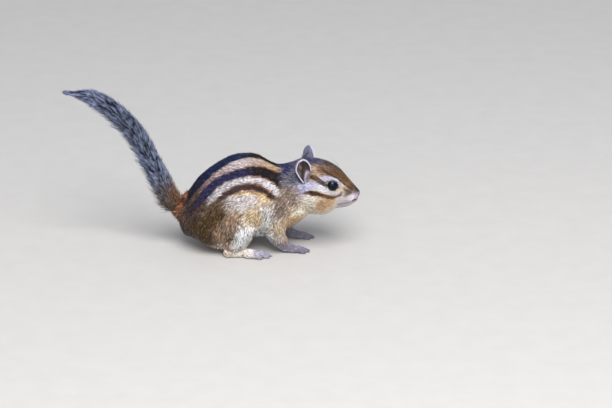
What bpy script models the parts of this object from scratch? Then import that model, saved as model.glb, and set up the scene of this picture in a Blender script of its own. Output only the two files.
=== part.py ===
"""Siberian chipmunk, life size, crouched on all fours with its tail raised.

The body is modelled whole, from lofts, ellipsoids and tapered tubes, fused and smoothed, and then
parted with thin cuts into the pieces that a person would name. The tail is made apart, as a core
with its coat, and cut across its line. The animal faces +X, its left side is +Y, and it stands on
z = 0, with the origin under the middle of its box.
"""

import bisect
import math
import random

import bmesh
import bpy
from mathutils import Euler, Matrix, Vector

# Driving dimensions, in mm and degrees, in a frame whose z is about 0 at the soles
MM = 0.001
GAP = 0.3
FLOOR = 0.35
HEAD_TURN = -8.0
HEAD_PIVOT = (60.0, 0.0, 46.0)
RING_POINTS = 32
LOFT_STEPS = 5

# Body outline from rump to nape: x, top, bottom and half width of each upright section
TORSO_SECTIONS = (
    (-25.5, 26.0, 15.0, 5.0),
    (-22.5, 35.0, 10.5, 11.0),
    (-18.0, 42.5, 8.0, 15.5),
    (-11.0, 52.0, 5.5, 19.5),
    (-4.0, 58.5, 4.8, 22.0),
    (3.0, 63.4, 5.0, 23.6),
    (10.0, 67.0, 5.5, 24.4),
    (17.0, 68.9, 6.8, 24.6),
    (24.5, 69.1, 8.0, 24.2),
    (31.5, 67.4, 8.6, 23.2),
    (38.5, 63.4, 9.2, 21.6),
    (44.0, 61.3, 10.4, 19.8),
    (49.0, 61.6, 12.8, 18.2),
    (56.0, 63.6, 17.0, 17.0),
    (63.0, 65.4, 22.0, 16.0),
    (69.0, 64.0, 28.0, 13.5),
)

# Head outline from nape to nose, before the head is turned, in the same columns
HEAD_SECTIONS = (
    (52.0, 58.0, 36.0, 10.0),
    (58.0, 64.6, 29.0, 14.6),
    (64.0, 66.4, 26.6, 16.0),
    (70.0, 67.0, 26.2, 16.2),
    (76.5, 66.4, 27.6, 15.2),
    (83.5, 63.4, 29.8, 12.6),
    (89.0, 59.2, 31.6, 9.8),
    (94.0, 53.6, 33.4, 7.0),
    (98.0, 49.2, 35.8, 5.2),
    (101.0, 46.2, 38.0, 3.7),
)

# Cheek pouch and temple of the right side, before the head is turned
CHEEK = dict(centre=(73.0, -8.4, 38.6), radii=(14.5, 8.2, 10.0), turn=(0, 10, -6))
BROW = dict(centre=(83.6, -8.2, 55.0), radii=(7.0, 3.4, 3.4), turn=(0, 24, 24))
MUZZLE_PAD = dict(centre=(95.2, -3.0, 40.8), radii=(6.2, 3.9, 4.3), turn=(0, 10, 16))
CHIN = dict(centre=(91.5, 0.0, 35.6), radii=(8.0, 4.2, 3.9), turn=(0, -14, 0))
NOSE = dict(centre=(100.3, 0.0, 42.6), radii=(2.7, 2.7, 2.9), turn=(0, 15, 0))
MUZZLE_VOXEL, MUZZLE_SMOOTHING = 0.55, 5

# Mouth line from the front to the right corner, and how far each lip lies off it
MOUTH_LINE = ((104.0, 0.0, 39.2), (100.8, -1.4, 38.6), (97.4, -3.6, 37.3), (93.0, -5.2, 36.1), (88.4, -6.8, 36.6))
LIP_OFFSET, LIP_RADIUS = 1.15, 1.15
# Width of the mouth's slit, and how steeply it falls from the midline to the sides
MOUTH_SLIT, MOUTH_FALL = 0.5, 0.3
NOSTRIL = dict(centre=(102.4, -1.5, 42.3), radii=(1.4, 0.6, 0.75), turn=(0, 20, 28))
PHILTRUM = dict(centre=(103.4, 0.0, 40.5), radii=(1.7, 0.25, 1.3), turn=(0, 18, 0))

# The right side's limbs; the left side's are their mirror images, moved by LEFT_SHIFT along x
LEFT_SHIFT = {"fore": 3.0, "hind": 0.0}
HAUNCH = dict(centre=(4.5, -16.4, 26.0), radii=(22.5, 10.8, 21.5), turn=(0, 18, 0))
SHANK = dict(points=((19.0, -16.5, 23.0), (18.0, -21.0, 14.5), (9.5, -21.8, 6.4)), radii=(9.0, 7.6, 5.2))
SHOULDER = dict(centre=(44.5, -11.5, 35.0), radii=(13.0, 8.8, 17.0), turn=(0, 10, 0))
FOREARM = dict(
    points=((41.5, -11.0, 34.0), (42.0, -15.4, 21.0), (44.8, -15.2, 11.5), (49.5, -13.5, 5.2)),
    radii=(10.0, 8.3, 6.0, 4.2),
)
HIND_FOOT = dict(
    sole=((9.6, -22.0, 3.8), (18.0, -22.2, 3.5), (28.0, -22.6, 2.7)),
    radii=(3.8, 3.4, 3.0),
    ball=dict(centre=(27.0, -22.6, 2.2), radii=(6.2, 4.7, 2.4)),
    toe_root=(27.5, -22.6, 2.3),
    toe_radius=1.3,
    # sideways place, start and length of each toe, from the inner one out
    toes=((3.9, -4.0, 6.3), (2.2, 0.2, 8.8), (0.0, 0.8, 9.8), (-2.2, 0.2, 8.8), (-3.9, -2.8, 7.0)),
)
FORE_FOOT = dict(
    sole=((49.5, -13.5, 4.4), (53.0, -13.3, 3.2), (56.8, -13.0, 2.4)),
    radii=(3.7, 3.1, 2.5),
    ball=dict(centre=(56.4, -13.0, 2.0), radii=(4.0, 3.7, 2.0)),
    toe_root=(56.8, -13.0, 2.0),
    toe_radius=1.1,
    toes=((3.0, -1.0, 6.2), (1.1, 0.4, 7.8), (-1.0, 0.4, 7.8), (-3.0, -1.0, 6.4)),
)
CLAW = dict(length=2.1, radius=0.62, tip=0.16, sink=1.0, lift=0.35, droop=14.0, sides=6)

EYE = dict(centre=(84.2, -9.7, 51.5), radius=4.3, turn=(-9, 0, 22))
LID = dict(ring=4.3, thickness=1.2, stretch=1.12, height=1.7)
EAR = dict(centre=(64.2, -12.4, 62.0), radii=(5.6, 4.2, 10.4), turn=(4, -4, 30), wall=1.15)
CONCHA = dict(centre=(65.0, -15.2, 57.6), radii=(2.8, 3.2, 5.0), turn=(4, -4, 30))

# Tail: centre line from rump to tip, and the half width of its coat there
TAIL_LINE = (
    (-17.0, 0.0, 21.0, 8.0),
    (-21.0, 0.0, 24.0, 8.0),
    (-28.0, 0.4, 30.0, 7.8),
    (-35.0, 1.0, 41.0, 7.4),
    (-41.0, 1.8, 55.0, 7.2),
    (-48.0, 2.4, 69.0, 6.8),
    (-55.5, 2.6, 84.0, 6.8),
    (-65.5, 2.4, 96.0, 6.8),
    (-76.5, 1.8, 106.4, 6.2),
    (-89.0, 0.8, 113.4, 5.0),
    (-101.5, 0.0, 115.6, 1.2),
)
# Half widths of the bare stub in the rump, as shares of the coat's
TAIL_STUB_SHARES = (1.0, 0.9, 0.68, 0.5)
# How far along the line the tail leaves the rump, and the block that clears it there
TAIL_ROOT = 15.2
TAIL_ROOT_BLOCK = (9.0, 9.0, 8.0)
TAIL_CORE_SHARE = 0.46
# Locks stand in rings; the first rings are shorter, and the tail is parted before these rings
LOCK = dict(length=17.0, width=6.4, thickness=1.1, per_ring=5, spacing=8.2, seed=11)
LOCK_YOUNG = (0.5, 0.75)
TAIL_CUTS = (4, 8, 12)
# Each station of a lock: share of its length, lift from the core's skin (0) to the coat's tip (1),
# and shares of its width and thickness
LOCK_SHAPE = ((0.0, -0.5, 0.75, 1.0), (0.34, 0.5, 1.0, 1.0), (0.72, 0.9, 0.72, 0.8), (1.0, 1.0, 0.0, 0.0))
# The funnel between two lengths, which runs between one ring's locks and the next: place along the
# line from its throat, and radius as a share of the coat's half width there
FUNNEL = ((0.0, 0.5), (7.0, 0.86), (12.0, 1.2), (16.0, 6.0), (150.0, 20.0))
FUNNEL_LEAD = 0.35
FAR = 150.0

# Places where the body is parted, in this order: node, kind of region, its centre, its half sizes,
# its turn, and the member that the left side's copy moves with
PAIRED_REGIONS = (
    ("ear", "ellipsoid", (63.8, -13.9, 63.4), (6.8, 5.2, 11.8), (4, -4, 30), "head"),
    ("hindfoot", "box", (23.5, -22.0, 0.4), (18.0, 11.0, 6.4), (0, 0, 0), "hind"),
    ("hindleg", "ellipsoid", (5.5, -21.5, 25.0), (27.0, 14.5, 25.5), (0, 12, 0), "hind"),
    ("forefoot", "box", (57.0, -13.0, 0.0), (18.0, 9.0, 7.6), (0, 0, 0), "fore"),
    ("foreleg", "ellipsoid", (44.5, -18.0, 15.0), (14.5, 13.0, 19.0), (0, 0, 0), "fore"),
)
REGION_SEGMENTS = 20
# Midline cuts: node, a point of the plane, and the plane's lean from upright
HEAD_CUT = ((61.5, 0.0, 60.0), -12.2)
NECK_CUT = ((44.5, 0.0, 61.0), -15.0)

# Triangles of the body while it is parted, and what each node keeps before its small details
FINE_TRIANGLES = 36000
NODE_TRIANGLES = {
    "head": 2100,
    "ear": 360,
    "neck": 520,
    "torso": 1560,
    "foreleg": 400,
    "forefoot": 500,
    "hindleg": 560,
    "hindfoot": 600,
}

COLOURS = {
    "head": (0.36, 0.24, 0.13),
    "ear": (0.30, 0.26, 0.24),
    "neck": (0.40, 0.33, 0.25),
    "torso": (0.46, 0.34, 0.20),
    "foreleg": (0.52, 0.40, 0.26),
    "forefoot": (0.55, 0.48, 0.46),
    "hindleg": (0.38, 0.28, 0.16),
    "hindfoot": (0.55, 0.48, 0.46),
    "tail": (0.16, 0.16, 0.18),
    "eye": (0.01, 0.01, 0.012),
}
COAT_ROUGHNESS, EYE_ROUGHNESS = 0.8, 0.08


def catmull(rows, steps):
    """The rows with steps of smooth in-between rows, through every given one."""
    rows = [Vector(row) for row in rows]
    padded = [2 * rows[0] - rows[1], *rows, 2 * rows[-1] - rows[-2]]
    smooth = []
    for a, b, c, d in zip(padded, padded[1:], padded[2:], padded[3:]):
        for k in range(steps):
            t = k / steps
            bend = 2 * a - 5 * b + 4 * c - d
            twist = d - a + 3 * (b - c)
            smooth.append(b + 0.5 * t * (c - a + t * (bend + t * twist)))
    smooth.append(rows[-1])
    return smooth


def placed(centre, turn):
    """The matrix that turns by degrees about X, Y and Z, then moves to the centre."""
    rotation = Euler([math.radians(a) for a in turn]).to_matrix().to_4x4()
    return Matrix.Translation(Vector(centre) * MM) @ rotation


def linked(name, mesh):
    """A new object with the mesh, linked to the scene."""
    made = bpy.data.objects.new(name, mesh)
    bpy.context.scene.collection.objects.link(made)
    return made


def object_from(bm, name):
    """A new object with the bmesh as its mesh, its faces turned outwards."""
    bm.normal_update()
    bmesh.ops.recalc_face_normals(bm, faces=bm.faces)
    mesh = bpy.data.meshes.new(name)
    bm.to_mesh(mesh)
    bm.free()
    return linked(name, mesh)


def baked(obj):
    """The object with its evaluated shape as a plain mesh in world space."""
    graph = bpy.context.evaluated_depsgraph_get()
    mesh = bpy.data.meshes.new_from_object(obj.evaluated_get(graph))
    mesh.transform(obj.matrix_world)
    name = obj.name
    bpy.data.objects.remove(obj)
    bm = bmesh.new()
    bm.from_mesh(mesh)
    bmesh.ops.remove_doubles(bm, verts=bm.verts, dist=0.001 * MM)
    bm.to_mesh(mesh)
    bm.free()
    mesh.name = name
    return linked(name, mesh)


def bridged(bm, rings):
    """Closes a row of rings of equal size into one body."""
    for one, two in zip(rings, rings[1:]):
        for k in range(len(one)):
            following = (k + 1) % len(one)
            bm.faces.new((one[k], one[following], two[following], two[k]))
    bm.faces.new(rings[0])
    bm.faces.new(rings[-1])


def loft(name, sections, fullness=2.15):
    """A closed body through upright rounded sections, whose centres lie midway between top and bottom."""
    bm = bmesh.new()
    rings = []
    for x, top, bottom, half_width in catmull(sections, LOFT_STEPS):
        centre, half_height = (top + bottom) / 2, (top - bottom) / 2
        ring = []
        for k in range(RING_POINTS):
            angle = 2 * math.pi * k / RING_POINTS
            c, s = math.cos(angle), math.sin(angle)
            y = half_width * math.copysign(abs(c) ** (2 / fullness), c)
            z = centre + half_height * math.copysign(abs(s) ** (2 / fullness), s)
            ring.append(bm.verts.new(Vector((x, y, z)) * MM))
        rings.append(ring)
    bridged(bm, rings)
    return object_from(bm, name)


def ellipsoid(name, centre, radii, turn=(0, 0, 0), segments=32):
    """A closed ellipsoid, with its turn in degrees about X, Y and Z."""
    bm = bmesh.new()
    bmesh.ops.create_uvsphere(bm, u_segments=segments, v_segments=segments // 2, radius=1.0)
    bm.transform(placed(centre, turn) @ Matrix.Diagonal((*(Vector(radii) * MM), 1)))
    return object_from(bm, name)


def box(name, centre, radii, turn=(0, 0, 0)):
    """A closed box of these half sizes."""
    bm = bmesh.new()
    bmesh.ops.create_cube(bm, size=2.0)
    bm.transform(placed(centre, turn) @ Matrix.Diagonal((*(Vector(radii) * MM), 1)))
    return object_from(bm, name)


def tube(name, points, radii, steps=6):
    """A closed round tube through the points, with its own radius at each."""
    rows = catmull([(*p, r) for p, r in zip(points, radii)], steps)
    curve = bpy.data.curves.new(name, "CURVE")
    curve.dimensions = "3D"
    curve.bevel_depth = MM
    curve.bevel_resolution = 4
    curve.use_fill_caps = True
    spline = curve.splines.new("POLY")
    spline.points.add(len(rows) - 1)
    for point, (x, y, z, r) in zip(spline.points, rows):
        point.co = (x * MM, y * MM, z * MM, 1)
        point.radius = r
    return baked(linked(name, curve))


def mirrored(obj, name, shift=0.0):
    """A copy of the object on the other side of the midplane, moved by shift along x."""
    bm = bmesh.new()
    bm.from_mesh(obj.data)
    bm.transform(Matrix.Translation((shift * MM, 0, 0)) @ Matrix.Diagonal((1, -1, 1, 1)))
    return object_from(bm, name)


def pair(obj, shift=0.0):
    """The right side's object and its copy on the left."""
    return [obj, mirrored(obj, obj.name + "_left", shift)]


def joined(objects, name):
    """One object that holds the meshes of all of these, which are removed."""
    bm = bmesh.new()
    for obj in objects:
        bm.from_mesh(obj.data)
        bpy.data.objects.remove(obj)
    mesh = bpy.data.meshes.new(name)
    bm.to_mesh(mesh)
    bm.free()
    return linked(name, mesh)


def fused(objects, name, voxel, smooth_steps):
    """The overlapping objects as one skin of that voxel size, smoothed in that many steps."""
    obj = joined(objects, name)
    remesh = obj.modifiers.new("skin", "REMESH")
    remesh.mode = "VOXEL"
    remesh.voxel_size = voxel * MM
    smooth = obj.modifiers.new("smooth", "SMOOTH")
    smooth.factor = 0.5
    smooth.iterations = smooth_steps
    return baked(obj)


def combined(obj, operation, tool, solver="EXACT"):
    """The object after a Boolean with the tool, which is removed."""
    boolean = obj.modifiers.new(operation, "BOOLEAN")
    boolean.operation = operation
    boolean.solver = solver
    boolean.object = tool
    result = baked(obj)
    bpy.data.objects.remove(tool)
    return result


def thinned(obj, triangles):
    """The object with about this many triangles."""
    few = obj.modifiers.new("few_faces", "DECIMATE")
    few.ratio = triangles / sum(len(face.vertices) - 2 for face in obj.data.polygons)
    return baked(obj)


def surfaces_of(bm):
    """The sets of vertices that are linked by edges."""
    unseen = set(bm.verts)
    while unseen:
        front = [unseen.pop()]
        found = set(front)
        while front:
            vert = front.pop()
            for edge in vert.link_edges:
                other = edge.other_vert(vert)
                if other not in found:
                    found.add(other)
                    front.append(other)
        unseen -= found
        yield found


def volume_of(verts):
    """The volume inside the closed surface that these vertices make."""
    faces = {face for vert in verts for face in vert.link_faces}
    return sum(face.calc_center_median().dot(face.normal) * face.calc_area() / 3 for face in faces)


def largest(obj):
    """The object with its largest closed surface only, in triangles."""
    bm = bmesh.new()
    bm.from_mesh(obj.data)
    bmesh.ops.triangulate(bm, faces=bm.faces)
    bm.normal_update()
    surfaces = sorted(surfaces_of(bm), key=volume_of)
    for verts in surfaces[:-1]:
        bmesh.ops.delete(bm, geom=list(verts), context="VERTS")
    bm.to_mesh(obj.data)
    bm.free()
    return obj


def parted(rest, name, region):
    """The piece of rest inside the region, and rest without the region grown by the gap."""
    piece = linked(name, rest.data.copy())
    piece = largest(combined(piece, "INTERSECT", region(0.0)))
    rest = largest(combined(rest, "DIFFERENCE", region(GAP)))
    return piece, rest


def turned(objects):
    """The same objects, turned with the head, as the animal looks a little to its right."""
    pivot = Matrix.Translation(Vector(HEAD_PIVOT) * MM)
    turn = pivot @ Matrix.Rotation(math.radians(HEAD_TURN), 4, "Z") @ pivot.inverted()
    for obj in objects:
        obj.data.transform(turn)
    return objects


def lip(name, side):
    """One lip as a tube from corner to corner, above the mouth line (side 1) or below it (-1)."""
    line = [Vector(p) for p in MOUTH_LINE[1:]]
    offset = Vector((-0.9, 0.5, side * LIP_OFFSET))
    right = [p + offset for p in reversed(line)]
    left = [Vector((p.x, -p.y, p.z)) for p in reversed(right)]
    return tube(name, right + left, [LIP_RADIUS * 0.6, *[LIP_RADIUS] * (len(right + left) - 2), LIP_RADIUS * 0.6])


def mouth_slit():
    """A thin curved sheet along the mouth line, highest on the midline and as wide as the muzzle."""
    bm = bmesh.new()
    half = 14.0
    rows = catmull(MOUTH_LINE, 4)
    columns = []
    for y in (-half, 0.0, half):
        points = [(x, y, z + MOUTH_FALL * (abs(line_y) - abs(y))) for x, line_y, z in rows]
        columns.append([bm.verts.new(Vector(point) * MM) for point in points])
    for one, two in zip(columns, columns[1:]):
        for k in range(len(one) - 1):
            bm.faces.new((one[k], one[k + 1], two[k + 1], two[k]))
    sheet = object_from(bm, "mouth_slit")
    wall = sheet.modifiers.new("slit", "SOLIDIFY")
    wall.thickness = MOUTH_SLIT * MM
    wall.offset = 0
    return baked(sheet)


def foot(name, plan):
    """A foot as closed forms that overlap: heel, sole, ball and toes arched at the knuckle."""
    forms = [
        tube(name + "_sole", plan["sole"], plan["radii"]),
        ellipsoid(name + "_heel", plan["sole"][0], [plan["radii"][0]] * 3),
        ellipsoid(name + "_instep", plan["sole"][-1], [plan["radii"][-1]] * 3),
        ellipsoid(name + "_ball", **plan["ball"]),
    ]
    for first, knuckle, tip in toe_lines(plan):
        r = plan["toe_radius"]
        forms.append(tube(name + "_toe", (first, knuckle, tip), (r * 1.15, r, r * 0.82)))
        forms.append(ellipsoid(name + "_tip", tip, (r * 1.15, r * 0.95, r * 0.95), segments=12))
    return forms


def toe_lines(plan):
    """The start, knuckle and tip of each toe."""
    root, r = Vector(plan["toe_root"]), plan["toe_radius"]
    for place, start, length in plan["toes"]:
        first = root + Vector((start - 3.0, place * 0.8, 0.3))
        knuckle = root + Vector((start + 0.45 * length, place * 1.12, 0.7))
        tip = root + Vector((start + length, place * (1.12 + 0.032 * length), r * 1.05 - root.z))
        yield first, knuckle, tip


def claws(plan):
    """The claws of the right foot as one object, rooted in the toe tips and bent down."""
    made = []
    for _, knuckle, tip in toe_lines(plan):
        along = (tip - knuckle).normalized()
        heading = math.degrees(math.atan2(along.y, along.x))
        middle = tip + along * CLAW["length"] / 2 + Vector((0, 0, CLAW["lift"]))
        bm = bmesh.new()
        bmesh.ops.create_cone(
            bm,
            cap_ends=True,
            segments=CLAW["sides"],
            depth=CLAW["length"] + CLAW["sink"],
            radius1=CLAW["radius"],
            radius2=CLAW["tip"],
        )
        bm.transform(placed(middle, (0, 90 + CLAW["droop"], heading)) @ Matrix.Scale(MM, 4))
        made.append(object_from(bm, "claw"))
    return joined(made, "claws")


def lid_ring(name):
    """The rim of the right eye's lids, drawn out towards both corners."""
    bm = bmesh.new()
    steps, sides = 32, 10
    rings = []
    for i in range(steps):
        along = 2 * math.pi * i / steps
        out = Vector((math.cos(along) * LID["stretch"], 0, math.sin(along)))
        ring = []
        for k in range(sides):
            around = 2 * math.pi * k / sides
            bulge = LID["thickness"] * math.cos(around)
            depth = -LID["height"] + LID["thickness"] * math.sin(around)
            ring.append(bm.verts.new(out * (LID["ring"] + bulge) + Vector((0, depth, 0))))
        rings.append(ring)
    for one, two in zip(rings, rings[1:] + rings[:1]):
        for k in range(sides):
            following = (k + 1) % sides
            bm.faces.new((one[k], one[following], two[following], two[k]))
    bm.transform(placed(EYE["centre"], EYE["turn"]) @ Matrix.Scale(MM, 4))
    return object_from(bm, name)


def ear_cup(name):
    """The right ear: half an ellipsoid's shell, open outwards and forwards, its root in the head."""
    bm = bmesh.new()
    bmesh.ops.create_uvsphere(bm, u_segments=32, v_segments=20, radius=1.0)
    geometry = [*bm.verts, *bm.edges, *bm.faces]
    bmesh.ops.bisect_plane(bm, geom=geometry, plane_co=(0, -0.12, 0), plane_no=(0, -1, 0), clear_outer=True)
    for vert in bm.verts:
        vert.co.x *= 1 - 0.16 * max(vert.co.z, 0) - 0.10 * max(-vert.co.z, 0)
    bm.transform(placed(EAR["centre"], EAR["turn"]) @ Matrix.Diagonal((*(Vector(EAR["radii"]) * MM), 1)))
    shell = object_from(bm, name)
    wall = shell.modifiers.new("wall", "SOLIDIFY")
    wall.thickness = EAR["wall"] * MM
    wall.offset = 0
    return baked(shell)


def massed_body():
    """Trunk, skull, cheeks and limbs down to the wrists and heels, as one smooth skin."""
    root = [(*p[:3], p[3] * share) for p, share in zip(TAIL_LINE, TAIL_STUB_SHARES)]
    forms = [loft("trunk", TORSO_SECTIONS), tube("tail_root", [p[:3] for p in root], [p[3] for p in root])]
    forms += turned([loft("skull", HEAD_SECTIONS), *pair(ellipsoid("cheek", **CHEEK))])
    forms += pair(ellipsoid("haunch", **HAUNCH), LEFT_SHIFT["hind"])
    forms += pair(ellipsoid("shoulder", **SHOULDER))
    forms += pair(tube("shank", **SHANK), LEFT_SHIFT["hind"])
    forms += pair(tube("forearm", **FOREARM), LEFT_SHIFT["fore"])
    return fused(forms, "massed", 1.0, 22)


def muzzled(massed):
    """The same skin with brows, lids, muzzle pads, nose, chin and lips."""
    forms = [
        *pair(lid_ring("lid")),
        *pair(ellipsoid("brow", **BROW)),
        *pair(ellipsoid("muzzle_pad", **MUZZLE_PAD)),
        ellipsoid("chin", **CHIN),
        ellipsoid("nose", **NOSE),
        lip("upper_lip", 1),
        lip("lower_lip", -1),
    ]
    return fused([massed, *turned(forms)], "muzzled", MUZZLE_VOXEL, MUZZLE_SMOOTHING)


def whole_body():
    """The whole animal without eyes and tail, as one skin."""
    details = []
    for plan, end in ((HIND_FOOT, "hind"), (FORE_FOOT, "fore")):
        for form in foot(end + "_foot", plan):
            details += pair(form, LEFT_SHIFT[end])
    details += turned(pair(ear_cup("ear")))
    return thinned(fused([muzzled(massed_body()), *details], "body", 0.42, 2), FINE_TRIANGLES)


def finished_head(head):
    """The head with its eye sockets, nostrils, mouth line and split upper lip cut."""
    socket = ellipsoid("socket", EYE["centre"], [EYE["radius"] + GAP] * 3, segments=20)
    nostril = ellipsoid("nostril", **NOSTRIL, segments=10)
    for cutter in turned([*pair(socket), *pair(nostril), mouth_slit(), box("philtrum", **PHILTRUM)]):
        head = combined(head, "DIFFERENCE", cutter)
    return head


def own_side(tool, left, member):
    """The right side's tool for a node of that side, moved as the node's member is."""
    if left:
        right = tool
        tool = mirrored(right, tool.name, LEFT_SHIFT.get(member, 0.0))
        bpy.data.objects.remove(right)
    if member == "head":
        turned([tool])
    return tool


def finished(node):
    """The node of the body in few faces, with the small details that it carries."""
    kind, left = node.name.split("_")[0], node.name.endswith("left")
    node = thinned(node, NODE_TRIANGLES[kind])
    if kind == "head":
        node = finished_head(node)
    elif kind == "ear":
        concha = ellipsoid("concha", **CONCHA, segments=12)
        node = combined(node, "DIFFERENCE", own_side(concha, left, "head"))
    elif kind in ("hindfoot", "forefoot"):
        plan, member = (HIND_FOOT, "hind") if kind == "hindfoot" else (FORE_FOOT, "fore")
        node = combined(node, "UNION", own_side(claws(plan), left, member))
        node = combined(node, "DIFFERENCE", box("floor", (0, 0, FLOOR - FAR), (FAR, FAR, FAR)))
    return largest(node)


def plane_region(cut):
    """The region in front of a midline cut."""
    point, lean = cut
    ahead = Vector((math.cos(math.radians(lean)), 0, -math.sin(math.radians(lean))))
    centre = Vector(point) + ahead * FAR

    def region(growth):
        return box("region", centre, [FAR + growth] * 3, (0, lean, 0))

    return region


def side_region(kind, centre, radii, turn, member, left):
    """The region of a paired node on one side."""

    def region(growth):
        sizes = [r + growth for r in radii]
        if kind == "box":
            tool = box("region", centre, sizes, turn)
        else:
            tool = ellipsoid("region", centre, sizes, turn, REGION_SEGMENTS)
        return own_side(tool, left, member)

    return region


class TailLine:
    """The tail's line, read by distance from its start in the rump."""

    def __init__(self):
        self.rows = catmull(TAIL_LINE, 12)
        self.marks = [0.0]
        for one, two in zip(self.rows, self.rows[1:]):
            self.marks.append(self.marks[-1] + (two - one).to_3d().length)
        self.length = self.marks[-1]

    def at(self, distance):
        """The point there, and the half width of the coat."""
        distance = min(max(distance, 0.0), self.length)
        k = min(bisect.bisect_right(self.marks, distance), len(self.rows) - 1)
        share = (distance - self.marks[k - 1]) / (self.marks[k] - self.marks[k - 1])
        row = self.rows[k - 1].lerp(self.rows[k], share)
        return row.to_3d(), row.w

    def along(self, distance):
        """The line's direction there."""
        middle = min(max(distance, 1.0), self.length - 1.0)
        return (self.at(middle + 1.0)[0] - self.at(middle - 1.0)[0]).normalized()


def tail_block(line, distance, half_sizes, side, growth=0.0):
    """A block whose face lies across the tail's line there, beyond it (side 1) or before it (-1)."""
    point, along = line.at(distance)[0], line.along(distance)
    turn = [math.degrees(a) for a in along.to_track_quat("Z", "Y").to_euler()]
    sizes = [s + growth for s in half_sizes]
    return box("block", point + along * side * half_sizes[2], sizes, turn)


def tail_funnel(line, distance):
    """The region beyond a funnel round the tail's line, its throat across the core there."""
    throat, along = line.at(distance)[0], line.along(distance)
    frame = along.to_track_quat("Z", "Y").to_matrix()

    def region(growth):
        bm = bmesh.new()
        rings = []
        for place, share in FUNNEL:
            radius = share * line.at(distance + place)[1] + growth
            ring = []
            for k in range(REGION_SEGMENTS):
                angle = 2 * math.pi * k / REGION_SEGMENTS
                spoke = Vector((radius * math.cos(angle), radius * math.sin(angle), place - growth))
                ring.append(bm.verts.new((throat + frame @ spoke) * MM))
            rings.append(ring)
        bridged(bm, rings)
        return object_from(bm, "funnel")

    return region


def lock(line, start, angle, length, width, reach):
    """One flat lock of hair, rooted in the core, lifted off it and drawn to a point along the tail."""
    bm = bmesh.new()
    rings = []
    for share, lift, broad, thick in LOCK_SHAPE:
        distance = start + share * length
        centre, coat = line.at(distance)
        ahead = line.along(distance)
        side = Vector((0, 1, 0))
        up = side.cross(ahead).normalized()
        out = up * math.cos(angle) + side * math.sin(angle)
        across = ahead.cross(out)
        core = TAIL_CORE_SHARE * coat
        radius = core + (coat * reach - core) * lift
        half, thin = width * broad / 2, LOCK["thickness"] * thick / 2
        middle = centre + out * radius
        edge = middle - out * half * half / (2 * max(radius, half))
        corners = (edge - across * half, middle + out * thin, edge + across * half, middle - out * thin)
        rings.append([bm.verts.new(corner * MM) for corner in corners])
    bridged(bm, rings)
    bmesh.ops.remove_doubles(bm, verts=bm.verts, dist=0.001 * MM)
    return object_from(bm, "lock")


def tail_locks(line):
    """The tail's locks in staggered rings, in a collection of their own."""
    draw = random.Random(LOCK["seed"])
    coat = bpy.data.collections.new("tail_locks")
    bpy.context.scene.collection.children.link(coat)
    rings = int((line.length - TAIL_ROOT - 0.6 * LOCK["length"]) / LOCK["spacing"]) + 1
    for ring in range(rings):
        young = LOCK_YOUNG[ring] if ring < len(LOCK_YOUNG) else 1.0
        for k in range(LOCK["per_ring"]):
            made = lock(
                line,
                start=TAIL_ROOT + LOCK["spacing"] * (ring + draw.uniform(-0.2, 0.2)),
                angle=2 * math.pi * (k + 0.5 * (ring % 2) + draw.uniform(-0.14, 0.14)) / LOCK["per_ring"],
                length=LOCK["length"] * young * draw.uniform(0.88, 1.16),
                width=LOCK["width"] * draw.uniform(0.85, 1.15) * (1 - 0.35 * ring / rings),
                reach=draw.uniform(0.92, 1.1),
            )
            coat.objects.link(made)
            bpy.context.scene.collection.objects.unlink(made)
    return coat


def tail(line):
    """The tail's core with its locks, as one closed surface."""
    rows = TAIL_LINE
    core = tube("tail_core", [p[:3] for p in rows], [p[3] * TAIL_CORE_SHARE for p in rows], 2)
    coat = tail_locks(line)
    union = core.modifiers.new("coat", "BOOLEAN")
    union.operation = "UNION"
    union.solver = "EXACT"
    union.operand_type = "COLLECTION"
    union.collection = coat
    whole = largest(baked(core))
    for made in list(coat.objects):
        bpy.data.objects.remove(made)
    bpy.data.collections.remove(coat)
    return whole


def body_nodes(line):
    """The body, parted into its named pieces."""
    rest = whole_body()
    rest = largest(combined(rest, "DIFFERENCE", tail_block(line, TAIL_ROOT, TAIL_ROOT_BLOCK, 1)))
    nodes = []
    for name, *shape in PAIRED_REGIONS:
        for side in ("right", "left"):
            piece, rest = parted(rest, f"{name}_{side}", side_region(*shape, side == "left"))
            nodes.append(piece)
    for name, cut in (("head", HEAD_CUT), ("neck", NECK_CUT)):
        piece, rest = parted(rest, name, plane_region(cut))
        nodes.append(piece)
    rest.name = "torso"
    return [finished(node) for node in (*nodes, rest)]


def tail_nodes(line):
    """The tail, parted by funnels into its lengths, numbered from the root."""
    rest = largest(combined(tail(line), "DIFFERENCE", tail_block(line, TAIL_ROOT, [FAR] * 3, -1, GAP)))
    nodes = []
    for number, ring in reversed(list(enumerate(TAIL_CUTS, start=2))):
        throat = TAIL_ROOT + LOCK["spacing"] * (ring - FUNNEL_LEAD)
        piece, rest = parted(rest, f"tail_{number}", tail_funnel(line, throat))
        nodes.append(piece)
    rest.name = "tail_1"
    return [*nodes, rest]


def eyes():
    """Both eyeballs, round and whole."""
    right, left = turned(pair(ellipsoid("eye_right", EYE["centre"], [EYE["radius"]] * 3, segments=20)))
    left.name = "eye_left"
    return [right, left]


def coated(obj):
    """Gives the node its material and smooth shading."""
    kind = obj.name.split("_")[0]
    material = bpy.data.materials.get(kind) or bpy.data.materials.new(kind)
    material.use_nodes = True
    shader = material.node_tree.nodes["Principled BSDF"]
    shader.inputs["Base Color"].default_value = (*COLOURS[kind], 1)
    shader.inputs["Roughness"].default_value = EYE_ROUGHNESS if kind == "eye" else COAT_ROUGHNESS
    obj.data.materials.clear()
    obj.data.materials.append(material)
    obj.data.shade_smooth()
    obj.data.set_sharp_from_angle(angle=math.radians(50))


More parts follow.
